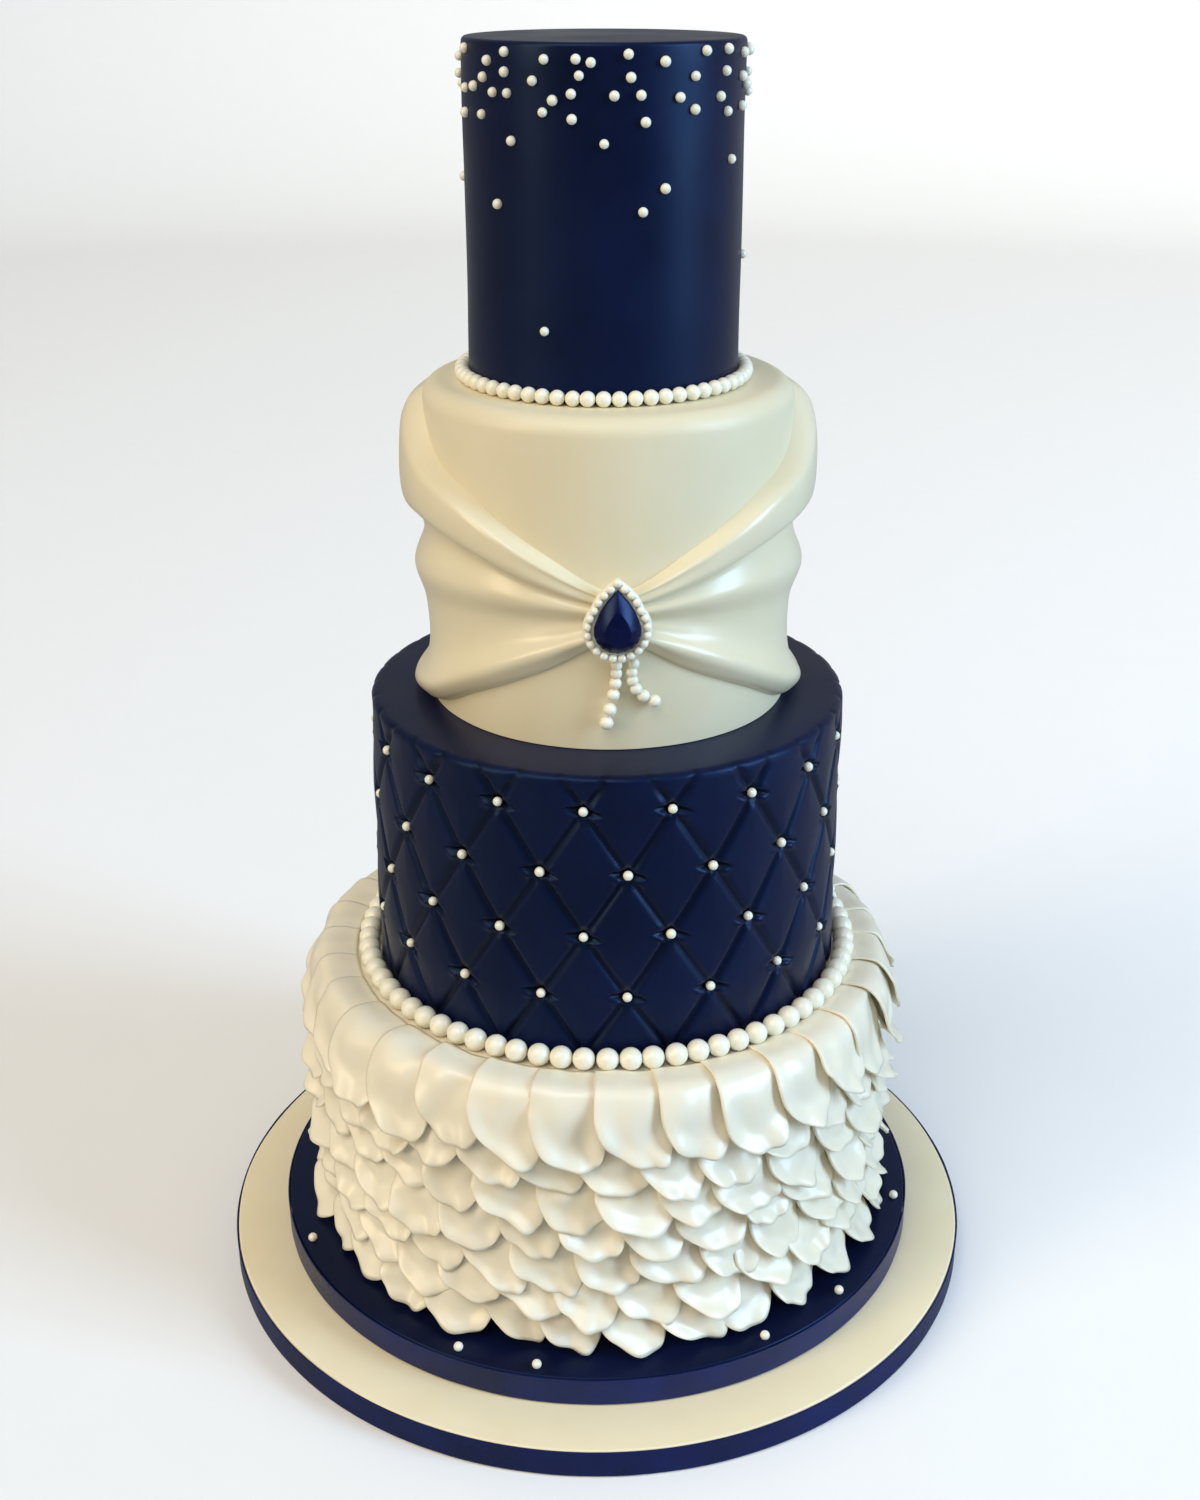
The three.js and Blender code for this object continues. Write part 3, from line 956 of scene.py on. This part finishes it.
    def sheet(
        self,
        bm: bmesh.types.BMesh,
        layer: bmesh.types.BMLayerItem,
        point: Callable[[float, float], Vector],
        down: int,
    ) -> None:
        """Adds one petal as a curved sheet.

        Args:
            bm: The mesh to add to.
            layer: Where each point's nearness to the lip is kept, which the finish turns into a painted
                warm glow.
            point: Gives the place for a way across and a way down.
            down: Number of spans from root to lip.
        """
        made = bmesh.ops.create_grid(bm, x_segments=self.across, y_segments=down, size=1.0)
        for vert in made["verts"]:
            u = vert.co.x
            v = 0.5 - 0.5 * vert.co.y
            # The share of the painted warm glow at the lip.
            vert[layer] = smoothstep(0.55, 1.0, v)
            vert.co = point(u, v)

    def row(
        self,
        name: str,
        points: Iterable[Callable[[float, float], Vector]],
        down: int,
        material: bpy.types.Material,
    ) -> bpy.types.Object:
        """Makes one row of petals.

        Args:
            name: The piece's name.
            points: One point function for each petal.
            down: Number of spans from root to lip.
            material: The petals' finish.

        Returns:
            The piece.
        """
        bm = bmesh.new()
        layer = bm.verts.layers.float.new(PaintedLight.LIP.value)
        for point in points:
            self.sheet(bm, layer, point, down)
        piece = finished(bm, name, material, place=Matrix.Translation((self.shift, 0, 0)))
        wall = piece.modifiers.new("thickness", "SOLIDIFY")
        wall.thickness = self.thickness * MM
        wall.offset = 0.0
        return piece

    def short_row(self, row: int, material: bpy.types.Material) -> bpy.types.Object:
        """Makes a row of short petals.

        Args:
            row: The row, from the lowest.
            material: The petals' finish.

        Returns:
            The piece.
        """
        columns = 3 * self.per_row
        points = []
        for petal in range(self.per_row):
            mood = Mood.of(row, petal)
            centre = (3 * petal + 1.5 - self.stagger[row]) / columns * math.tau
            points.append(lambda u, v, m=mood, c=centre: self.short_point(row, m, c, u, v))
        return self.row(f"frill_row_{row + 1}", points, self.down, material)

    def long_row(self, material: bpy.types.Material) -> bpy.types.Object:
        """Makes the row of long petals.

        Args:
            material: The petals' finish.

        Returns:
            The piece.
        """
        points = []
        for petal in range(self.per_row):
            mood = Mood.of(len(self.stagger), petal)
            centre = (petal + 0.5) / self.per_row * math.tau
            points.append(lambda u, v, m=mood, c=centre: self.long_point(m, c, u, v))
        return self.row("frill_shoulder", points, 2 * self.down, material)

    def build(self, finishes: Finishes) -> None:
        """Builds the tier's pieces.

        Args:
            finishes: The cake's finishes.
        """
        pieces = [self.core(finishes.frill)]
        pieces += [self.short_row(row, finishes.frill) for row in range(len(self.stagger))]
        pieces.append(self.long_row(finishes.frill))
        for piece in pieces:
            hand_over(piece, "tier_ruffled")


@dataclass(frozen=True)
class QuiltedTier:
    """The second tier: navy icing quilted into diamonds, with a pearl at each crossing."""

    foot_radius: float = 105.3
    top_radius: float = 103.6
    base: float = 156.5
    top: float = 285.8
    shift: float = 4.5
    columns: int = 18
    rows: int = 4
    first_row: float = 270.6
    pitch: float = 28.1
    phase: float = -5.4
    puff: float = 2.4
    edge: float = 3.2
    pearl_radius: float = 2.0
    groove: float = 2.5
    # Share of painted shade at the bottom of each groove.
    groove_shade: float = 0.6
    cut_depth: float = 2.6
    slit: Pair = (8.0, 2.1)
    pinch: Pair = (1.3, 6.5)
    steps_per_column: int = 42

    def wall(self, height: float) -> float:
        """Radius of the bottom of the quilting's grooves at a height."""
        share = (height - self.base) / (self.top - self.base)
        return lerp(self.foot_radius, self.top_radius, share) - self.puff

    @property
    def place(self) -> Matrix:
        """Where the tier stands, turned so that a column of crossings starts at its own front."""
        return Matrix.Translation((self.shift, 0, 0)) @ Matrix.Rotation(math.radians(self.phase), 4, "Z")

    def heights(self) -> list[float]:
        """Levels of the wall, on a grid whose spans the grooves cross from corner to corner."""
        step = 2 * self.pitch / self.steps_per_column
        lowest = -int((self.first_row - self.base) / step)
        highest = int((self.top - self.edge - self.first_row) / step)
        even = [self.first_row + step * k for k in range(lowest, highest + 1)]
        rows = [self.first_row - row * self.pitch for row in range(self.rows)]
        finer = [row + share * step for row in rows for share in (-1.5, -0.5, 0.5, 1.5)]
        return sorted([self.base, *even, *finer])

    def relief(self, angle: float, height: float) -> Pair:
        """How far the icing stands out from the wall, and how much shade is painted into it.

        Args:
            angle: Angle from the tier's own front, in radians.
            height: Height above the table.

        Returns:
            The distance, and the share of painted shade, from 0 on the pads to 1 in the slits round a pearl
            and partly in the grooves.
        """
        column = angle / math.tau * self.columns
        row = (self.first_row - height) / self.pitch
        column_width = math.tau * self.wall(height) / self.columns
        across = 1 / math.hypot(1 / column_width, 0.5 / self.pitch)
        rising = across * abs((column + row / 2 + 0.5) % 1 - 0.5)
        falling = across * abs((column - row / 2 + 0.5) % 1 - 0.5)
        groove = max(0.0, 1 - min(rising, falling) / self.groove) ** 1.1
        hollow = 0.28 * max(bell(rising, 7.0), bell(falling, 7.0)) + 0.72 * groove
        hollow *= 0.3 + 0.7 * smoothstep(self.top - 1.0, self.top - 8.0, height)
        pad = self.puff * (1 - hollow)
        if not -0.5 < row < self.rows - 0.5:
            return pad, self.groove_shade * groove
        nearest_row = round(row)
        offset = (nearest_row % 2) / 2
        aside = (column - offset - round(column - offset)) * column_width
        above = (nearest_row - row) * self.pitch
        leaning = above + 0.18 * aside
        reach, gape = self.slit
        share = max(0.0, 1 - (aside / reach) ** 2)
        slit = max(0.0, 1 - abs(leaning) / (gape * (0.25 + 0.75 * share))) if share else 0.0
        width, length = self.pinch
        share_up = max(0.0, 1 - abs(above) / length)
        pinch = max(0.0, 1 - abs(aside) / (width * (0.4 + share_up))) if share_up else 0.0
        cut = max(slit * share ** 0.5, pinch * share_up)
        swell = 1.2 * share * bell(leaning + 2.7, 1.1) + 0.5 * share * bell(leaning - 3.0, 1.3)
        dimple = 0.9 * bell(math.hypot(aside, above), 3.4)
        out = pad - dimple + swell - self.cut_depth * cut
        return out, max(self.groove_shade * groove, min(1.0, 1.6 * cut))

    def icing(self, material: bpy.types.Material) -> bpy.types.Object:
        """Makes the quilted icing.

        Args:
            material: The navy icing.

        Returns:
            The piece.
        """
        crest = self.top - self.edge
        profile = [(0.0, self.base)]
        profile += [(self.wall(height), height) for height in self.heights()]
        rim = self.wall(self.top)
        profile += arc((rim - self.edge, crest), self.edge, 15, 90, 6)
        profile += [(rim * share, self.top) for share in (0.9, 0.8, 0.6, 0.3, 0.0)]
        bm = bmesh.new()
        lathe(bm, profile, self.columns * self.steps_per_column)
        layer = bm.verts.layers.float.new(PaintedLight.PRESSED.value)
        creased = []
        for vert in bm.verts:
            radius, angle = polar(vert.co)
            inside = self.wall(vert.co.z) - radius
            hold = 1 - smoothstep(0.0, 3.0 * self.edge, inside)
            if hold > 0:
                out, crease_shade = self.relief(angle, vert.co.z)
                vert.co.xy *= 1 + hold * out / radius
                # The share of painted shade, kept for the navy finish.
                vert[layer] = crease_shade * hold
                if crease_shade > self.groove_shade - 0.01:
                    creased.append(vert)
        bmesh.ops.connect_verts(bm, verts=creased, faces_exclude=[], check_degenerate=False)
        uneven(bm, 0.6, 40.0, 3.0)
        return finished(bm, "quilted_icing", material, place=self.place)

    def pearls(self, material: bpy.types.Material) -> bpy.types.Object:
        """Makes the pearls at the crossings.

        Args:
            material: The pearls' finish.

        Returns:
            The piece.
        """
        places = []
        for row in range(self.rows):
            height = self.first_row - row * self.pitch
            for k in range(self.columns):
                turn = (k + (row % 2) / 2) * math.tau / self.columns
                radius = self.pearl_radius * (0.95 + 0.1 * chance(41, 100 * row + k))
                places.append((at(self.wall(height) + 0.35 * radius, turn, height), radius))
        bm = bmesh.new()
        balls(bm, places, 3)
        return finished(bm, "quilting_pearls", material, place=self.place)

    def build(self, finishes: Finishes) -> None:
        """Builds the tier's pieces.

        Args:
            finishes: The cake's finishes.
        """
        hand_over(self.icing(finishes.navy), "tier_quilted")
        hand_over(self.pearls(finishes.pearl), "tier_quilted")
        BeadRing("beads_lower", 72, 4.7, self.foot_radius, 156.2, self.shift, 31).build(finishes.pearl)


@dataclass(frozen=True)
class DrapedTier:
    """The third tier: plain icing under a drape of three folds that fan out from the brooch."""

    radius: float = 76.5
    base: float = 286.1
    top: float = 420.8
    shift: float = 5.0
    brooch_angle: float = 2.2
    edge: float = 8.0
    tucked: float = -0.7
    underside: Pair = (0.62, 0.30)
    rounding: Pair = (0.68, 0.62)
    gather_depth: float = 0.4
    hem: tuple[float, ...] = (334, 317.5, 303, 289, 286.4)
    upper_edge: tuple[float, ...] = (352, 368, 384, 396, 417.5)
    folds: tuple[tuple[Pair, ...], ...] = (
        ((5.2, 338.5), (5.4, 328), (6.4, 313.5), (7.4, 299), (7.8, 291)),
        ((1.5, 340.5), (1.5, 334), (1.5, 323.5), (1.5, 312.5), (1.5, 303)),
        ((1.5, 342.8), (1.5, 341.2), (1.5, 336.5), (1.5, 331.5), (1.5, 327)),
        ((5.2, 345), (4.8, 348.2), (5.2, 348.8), (5.6, 347), (5.8, 343.5)),
        ((3, 346.8), (2.4, 352.5), (1.8, 361.5), (1.4, 365), (1.2, 359.5)),
        ((4.0, 348), (5.4, 356.5), (7.2, 367), (8.6, 373), (9.6, 373)),
        ((4.4, 350), (6.3, 362.5), (8.1, 377.5), (9.4, 388), (10, 398)),
    )
    around: int = 288
    across: int = 100

    @property
    def place(self) -> Matrix:
        """Where the tier stands, turned so that the brooch is at its own front."""
        turn = Matrix.Rotation(math.radians(self.brooch_angle), 4, "Z")
        return Matrix.Translation((self.shift, 0, 0)) @ turn

    def icing(self, material: bpy.types.Material) -> bpy.types.Object:
        """Makes the plain wall with its soft round top edge.

        Args:
            material: The ivory icing.

        Returns:
            The piece.
        """
        rings = [(self.radius * share, self.top) for share in (0.8, 0.6, 0.3, 0.0)]
        wall = [(self.radius, lerp(self.base, self.top - self.edge, k / 12)) for k in range(13)]
        profile = [(0.0, self.base), *wall]
        profile += arc((self.radius - self.edge, self.top - self.edge), self.edge, 9, 90, 9)
        bm = bmesh.new()
        lathe(bm, profile + rings, 180)
        uneven(bm, 0.5, 40.0, 5.0)
        return finished(bm, "draped_tier_icing", material, Shading.CRISP, self.place)

    def fold_lines(self, t: float) -> list[Pair]:
        """Edges and crests of the folds, from the hem up to the upper edge.

        Args:
            t: Share of the way from the brooch to the side.

        Returns:
            How far each line stands off the wall, and its height.
        """
        _, hem = spline([(0.0, height) for height in self.hem], t)
        _, upper = spline([(0.0, height) for height in self.upper_edge], t)
        hem = max(hem, self.base + GAP)
        folds = [spline(fold, t) for fold in self.folds]
        out, crest = folds[0]
        under = (self.underside[0] * out, lerp(hem, crest, self.underside[1]))
        shoulder_out, shoulder = folds[-1]
        over = (self.rounding[0] * shoulder_out, lerp(shoulder, upper, self.rounding[1]))
        return [(self.tucked, hem), under, *folds, over, (self.tucked, upper)]

    def surface(self, height: float) -> float:
        """Radius of the plain wall at a height, soft top edge included."""
        rise = min(max(height - (self.top - self.edge), 0.0), self.edge)
        return self.radius - self.edge + math.sqrt(self.edge ** 2 - rise ** 2)

    def gathers(self, t: float, share: float) -> float:
        """Fine creases near the brooch.

        Args:
            t: Share of the way from the brooch to the side.
            share: Share of the way from the hem to the upper edge.

        Returns:
            How much further the drape stands out.
        """
        near = 1 - smoothstep(0.12, 0.55, t)
        inner = smoothstep(0.0, 0.15, share) * (1 - smoothstep(0.85, 1.0, share))
        return self.gather_depth * near * inner * math.sin(46.0 * share)

    def drape(self, material: bpy.types.Material) -> bpy.types.Object:
        """Makes the drape as one closed band.

        Args:
            material: The satin icing.

        Returns:
            The piece.
        """
        section = [(self.radius + 1, float(k)) for k in range(self.across + 1)]
        section += [(self.radius, float(self.across)), (self.radius, 0.0)]
        bm = bmesh.new()
        lathe(bm, section, self.around, closed=True)
        lines = {}
        for vert in bm.verts:
            radius, angle = polar(vert.co)
            t = round(min(abs(angle) / (math.pi / 2), 1.0), 4)
            share = vert.co.z / self.across
            if t not in lines:
                lines[t] = self.fold_lines(t)
            out, height = spline(lines[t], share)
            if radius < self.radius + 0.5:
                out = 3 * self.tucked
            else:
                out += self.gathers(t, share)
            vert.co = at(self.surface(height) + max(out, 3 * self.tucked), angle, height)
        uneven(bm, 0.4, 25.0, 7.0)
        return finished(bm, "drape_folds", material, place=self.place)

    def build(self, finishes: Finishes) -> None:
        """Builds the tier's pieces.

        Args:
            finishes: The cake's finishes.
        """
        hand_over(self.icing(finishes.ivory), "tier_draped")
        hand_over(self.drape(finishes.satin), "drape")


@dataclass(frozen=True)
class Strand:
    """A hanging string of beads, with its route as angle and height pairs."""

    name: str
    route: tuple[Pair, ...]
    first: float
    last: float
    beads: int = 6


@dataclass(frozen=True)
class Brooch:
    """The brooch that gathers the drape: a teardrop stone in a line of beads, with two strings of beads."""

    tier: DrapedTier
    height: float = 340.3
    plane: float = 82.3
    fullness: float = 0.1
    stone_radius: float = 9.4
    stone_tip: float = 17.0
    stone_height: float = 6.2
    plate_radius: float = 13.6
    plate_tip: float = 21.0
    plate_thickness: float = 2.2
    bead_count: int = 23
    bead_size: float = 1.75
    bead_radius: float = 11.7
    bead_tip: float = 19.2
    strands: tuple[Strand, ...] = field(
        default=(
            Strand("strand_long", ((0, 325), (-0.6, 314), (-3.2, 297.4)), 2.2, 2.9),
            Strand("strand_short", ((5.1, 325.5), (4.3, 319), (6.4, 312), (12, 307)), 2.1, 2.7),
        )
    )

    @property
    def place(self) -> Matrix:
        """Stands a shape drawn face up, with its tip along +Y, on the brooch's plane."""
        stand = Matrix.Translation((0, -self.plane, self.height)) @ Matrix.Rotation(math.pi / 2, 4, "X")
        return self.tier.place @ stand

    def outline(self, radius: float, tip: float, angle: float) -> float:
        """Distance from a teardrop's middle to its outline.

        Args:
            radius: Radius of its round part.
            tip: Distance of its tip.
            angle: Angle from the tip, in radians.

        Returns:
            The distance.
        """
        tangent = math.acos(radius / tip)
        turn = abs(math.atan2(math.sin(angle), math.cos(angle)))
        if turn >= tangent:
            return radius
        return radius / math.cos(tangent - turn) * (1 + self.fullness * math.sin(turn / tangent * math.pi))

    def teardrop(self, profile: Sequence[Pair], radius: float, tip: float, steps: int) -> bmesh.types.BMesh:
        """Spins a profile of shares and pulls it to a teardrop.

        Args:
            profile: Share of the outline and height of each point.
            radius: Radius of the round part.
            tip: Distance of the tip.
            steps: Number of spans round it.

        Returns:
            The mesh, drawn face up.
        """
        bm = bmesh.new()
        lathe(bm, profile, steps)
        for vert in bm.verts:
            _, angle = polar(vert.co)
            vert.co.xy *= self.outline(radius, tip, math.pi - angle)
        bmesh.ops.recalc_face_normals(bm, faces=bm.faces)
        return bm

    def stone(self, material: bpy.types.Material) -> bpy.types.Object:
        """Makes the stone, with softly cut facets round a small table.

        Args:
            material: The stone's finish.

        Returns:
            The piece.
        """
        foot = self.plate_thickness + GAP
        top = foot + self.stone_height
        girdle = [(0.94, foot), (1.0, foot + 1.0), (0.96, foot + 2.0)]
        profile = [(0, foot), *girdle, (0.55, top - 0.7), (0, top)]
        bm = self.teardrop(profile, self.stone_radius, self.stone_tip, 18)
        sharp = [edge for edge in bm.edges if edge.calc_face_angle(0.0) > math.radians(9)]
        bmesh.ops.bevel(
            bm, geom=sharp, offset=0.25, offset_type="OFFSET", affect="EDGES", segments=2, profile=0.5,
            material=-1, clamp_overlap=True,
        )
        return finished(bm, "brooch_stone", material, Shading.CRISP, self.place)

    def surround(self, material: bpy.types.Material) -> bpy.types.Object:
        """Makes the plate behind the stone and the line of beads on it.

        Args:
            material: The pearls' finish.

        Returns:
            The piece.
        """
        lip = self.plate_thickness
        plate = [(0, 0), (0.94, 0), (1.0, 0.3 * lip), (0.98, 0.8 * lip), (0.92, lip), (0, lip)]
        bm = self.teardrop(plate, self.plate_radius, self.plate_tip, 72)
        steps = 720
        points = []
        for k in range(steps + 1):
            turn = k / steps * math.tau
            reach = self.outline(self.bead_radius, self.bead_tip, turn)
            points.append(Vector((reach * math.sin(turn), reach * math.cos(turn), lip + 0.6)))
        lengths = [0.0]
        for a, b in zip(points, points[1:]):
            lengths.append(lengths[-1] + (b - a).length)
        places = []
        for k in range(self.bead_count):
            want = lengths[-1] * k / self.bead_count
            nearest = min(range(steps), key=lambda i: abs(lengths[i] - want))
            places.append((points[nearest], self.bead_size))
        balls(bm, places, 3)
        return finished(bm, "brooch_beads", material, place=self.place)

    def strand(self, strand: Strand, material: bpy.types.Material) -> bpy.types.Object:
        """Makes one string of beads.

        Args:
            strand: The string.
            material: The beads' finish.

        Returns:
            The piece.
        """
        places = []
        for k in range(strand.beads):
            share = (k + 0.5) / strand.beads
            angle, height = spline(strand.route, share)
            size = lerp(strand.first, strand.last, share)
            reach = self.tier.radius + GAP + 0.2 + strand.last
            places.append((at(reach, math.radians(angle), height), size))
        bm = bmesh.new()
        balls(bm, places, 3)
        return finished(bm, "beads_" + strand.name, material, place=self.tier.place)

    def build(self, finishes: Finishes) -> None:
        """Builds the brooch's pieces.

        Args:
            finishes: The cake's finishes.
        """
        hand_over(self.stone(finishes.stone), "jewel")
        hand_over(self.surround(finishes.pearl), "jewel_surround")
        for strand in self.strands:
            hand_over(self.strand(strand, finishes.pearl), strand.name)


@dataclass(frozen=True)
class PearlRow:
    """One uneven row of pearls under the top edge."""

    height: float
    count: int


@dataclass(frozen=True)
class TopTier:
    """The top tier: plain navy icing with pearls scattered under its top edge."""

    radius: float = 54.7
    base: float = 421.1
    top: float = 550.2
    shift: float = 3.0
    edge: float = 1.8
    pearl_radius: float = 1.85
    spacing: float = 5.4
    sway: float = 0.42
    drift: float = 2.1
    rows: tuple[PearlRow, ...] = (
        PearlRow(545, 27), PearlRow(538.6, 22), PearlRow(532, 29), PearlRow(525, 18),
    )
    strays: tuple[Pair, ...] = (
        (-38, 516), (0, 516), (60, 508), (24, 500), (15, 492), (-46, 493), (-24, 448), (82, 470),
        (112, 514), (150, 499), (-118, 507), (-160, 474), (176, 515), (-96, 498), (128, 455),
    )

    def icing(self, material: bpy.types.Material) -> bpy.types.Object:
        """Makes the navy icing.

        Args:
            material: The navy icing.

        Returns:
            The piece.
        """
        rings = [(self.radius * share, self.top) for share in (0.85, 0.6, 0.3, 0.0)]
        wall = [(self.radius, lerp(self.base, self.top - self.edge, k / 16)) for k in range(17)]
        profile = [(0.0, self.base), *wall]
        profile += arc((self.radius - self.edge, self.top - self.edge), self.edge, 15, 90, 6)
        bm = bmesh.new()
        lathe(bm, profile + rings, 160)
        uneven(bm, 0.6, 45.0, 9.0)
        place = Matrix.Translation((self.shift, 0, 0))
        return finished(bm, "top_tier_icing", material, Shading.CRISP, place)

    def spots(self) -> list[Pair]:
        """Angle in radians and height of each pearl; one too near another is left out."""
        wanted = [(math.radians(angle), height) for angle, height in self.strays]
        for row, line in enumerate(self.rows):
            for k in range(line.count):
                sway = self.sway * (2 * chance(5, 100 * row + 2 * k) - 1)
                drift = self.drift * (2 * chance(5, 100 * row + 2 * k + 1) - 1)
                turn = (k + 0.5 * (row % 2) + sway) * math.tau / line.count
                wanted.append((turn, line.height + drift))
        places = [at(self.radius, *spot) for spot in wanted]
        clear = [
            all((other - place).length > self.spacing for other in places[:k])
            for k, place in enumerate(places)
        ]
        return [spot for spot, is_clear in zip(wanted, clear) if is_clear]

    def pearls(self, material: bpy.types.Material) -> bpy.types.Object:
        """Makes the scattered pearls.

        Args:
            material: The pearls' finish.

        Returns:
            The piece.
        """
        places = []
        for k, (angle, height) in enumerate(self.spots()):
            radius = self.pearl_radius * (0.94 + 0.12 * chance(43, k))
            places.append((at(self.radius + 0.4 * radius, angle, height), radius))
        bm = bmesh.new()
        balls(bm, places, 3)
        return finished(bm, "top_tier_pearls", material, place=Matrix.Translation((self.shift, 0, 0)))

    def build(self, finishes: Finishes) -> None:
        """Builds the tier's pieces.

        Args:
            finishes: The cake's finishes.
        """
        hand_over(self.icing(finishes.navy), "tier_top")
        hand_over(self.pearls(finishes.pearl), "tier_top")
        BeadRing("beads_upper", 60, 3.0, self.radius, 420.8, self.shift, 37).build(finishes.pearl)


@dataclass(frozen=True)
class SoftLight:
    """A large soft studio light, with places in metres."""

    name: str
    place: tuple[float, float, float]
    width: float
    height: float
    power: float
    colour: Colour
    aim: tuple[float, float, float] = (0.0, 0.0, 0.26)

    def build(self) -> None:
        """Adds the light to the scene."""
        data = bpy.data.lights.new(self.name, "AREA")
        data.shape = "RECTANGLE"
        data.size = self.width
        data.size_y = self.height
        data.energy = self.power
        data.color = self.colour
        light = bpy.data.objects.new(self.name, data)
        light.location = self.place
        direction = Vector(self.aim) - Vector(self.place)
        light.rotation_euler = direction.to_track_quat("-Z", "Y").to_euler()
        bpy.context.scene.collection.objects.link(light)


@dataclass(frozen=True)
class Skylight:
    """Soft light that comes from one side of the sky and is as strong everywhere."""

    turn: float = -32.0
    slant: float = 46.0
    spread: float = 55.0
    strength: float = 2.03
    colour: Colour = (1.0, 0.98, 0.93)

    def build(self) -> None:
        """Adds the light to the scene."""
        data = bpy.data.lights.new("skylight", "SUN")
        data.energy = self.strength
        data.angle = math.radians(self.spread)
        data.color = self.colour
        light = bpy.data.objects.new("skylight", data)
        level = math.cos(math.radians(self.slant))
        direction = -at(level, math.radians(self.turn), math.sin(math.radians(self.slant)))
        light.rotation_euler = direction.to_track_quat("-Z", "Y").to_euler()
        bpy.context.scene.collection.objects.link(light)


@dataclass(frozen=True)
class Studio:
    """The pale floor, the lights and the camera, with places in metres."""

    floor_radius: float = 3.2
    floor_bend: float = 1.4
    floor_rise: float = 4.0
    camera_place: tuple[float, float, float] = (0.0015, -0.7394, 0.5839)
    camera_tilt: float = 24.20
    lens: float = 43.375
    world_strength: float = 0.34
    skylight: Skylight = Skylight()
    lights: tuple[SoftLight, ...] = (
        SoftLight("lamp_left", (-3.0, -1.8, 1.5), 1.1, 2.0, 49.0, (1.0, 0.80, 0.54)),
        SoftLight("window_right", (3.3, -1.3, 1.6), 1.4, 2.6, 136.0, (0.51, 0.73, 1.0)),
    )

    def floor(self) -> None:
        """Makes the floor, which curves up into a plain backdrop all round."""
        turn = arc((self.floor_radius, self.floor_bend), self.floor_bend, -90, 0, 16)
        profile = [(0.0, 0.0), *turn, (self.floor_radius + self.floor_bend, self.floor_rise)]
        bm = bmesh.new()
        lathe(bm, [(radius / MM, height / MM - 0.5) for radius, height in profile], 96)
        bmesh.ops.reverse_faces(bm, faces=bm.faces)
        floor = finished(bm, "studio_floor", PaperFinish().material())
        floor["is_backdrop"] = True

    def world(self) -> None:
        """Sets the even light that comes from everywhere."""
        world = bpy.data.worlds.new("studio_air")
        world.use_nodes = True
        background = world.node_tree.nodes["Background"]
        background.inputs["Color"].default_value = (1.0, 0.99, 0.97, 1.0)
        background.inputs["Strength"].default_value = self.world_strength
        bpy.context.scene.world = world

    def camera(self) -> None:
        """Sets the camera, level and tilted down."""
        data = bpy.data.cameras.new("camera")
        data.lens = self.lens
        data.sensor_width = 36.0
        data.clip_start = 0.01
        data.clip_end = 50.0
        camera = bpy.data.objects.new("camera", data)
        camera.location = self.camera_place
        camera.rotation_euler = (math.radians(90 - self.camera_tilt), 0.0, 0.0)
        bpy.context.scene.collection.objects.link(camera)
        bpy.context.scene.camera = camera

    def build(self) -> None:
        """Sets up the studio."""
        self.floor()
        self.world()
        self.camera()
        self.skylight.build()
        for light in self.lights:
            light.build()
        bpy.context.scene.view_settings.view_transform = "Standard"


def write_sizes() -> None:
    """Writes the solids' box and the dressed cake's box."""
    boxes = {"cad": solid_box, "visual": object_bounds()}
    for key, (low, high) in boxes.items():
        log.info("%s box from %s to %s", key, tuple(low), tuple(high))


def main() -> None:
    """Builds the cake from the table up, then the studio round it."""
    logging.basicConfig(level=logging.INFO, format="%(name)s: %(message)s")
    finishes = Finishes.mixed()
    IcedBoard("lower", 178.0, 0.0, 13.8, Slot.IVORY_ICING, 1.0).build(finishes.board, finishes)
    IcedBoard(
        "upper", 152.2, 14.1, 28.1, Slot.NAVY_ICING, 2.0,
        pearl_angles=(-155, -131, -98, -65, -24, -10, 30, 48, 78, 107, 121, 149, 176),
    ).build(finishes.navy, finishes)
    FrilledTier().build(finishes)
    QuiltedTier().build(finishes)
    draped = DrapedTier()
    draped.build(finishes)
    Brooch(draped).build(finishes)
    TopTier().build(finishes)
    Studio().build()
    write_sizes()


if __name__ == "__main__":
    main()
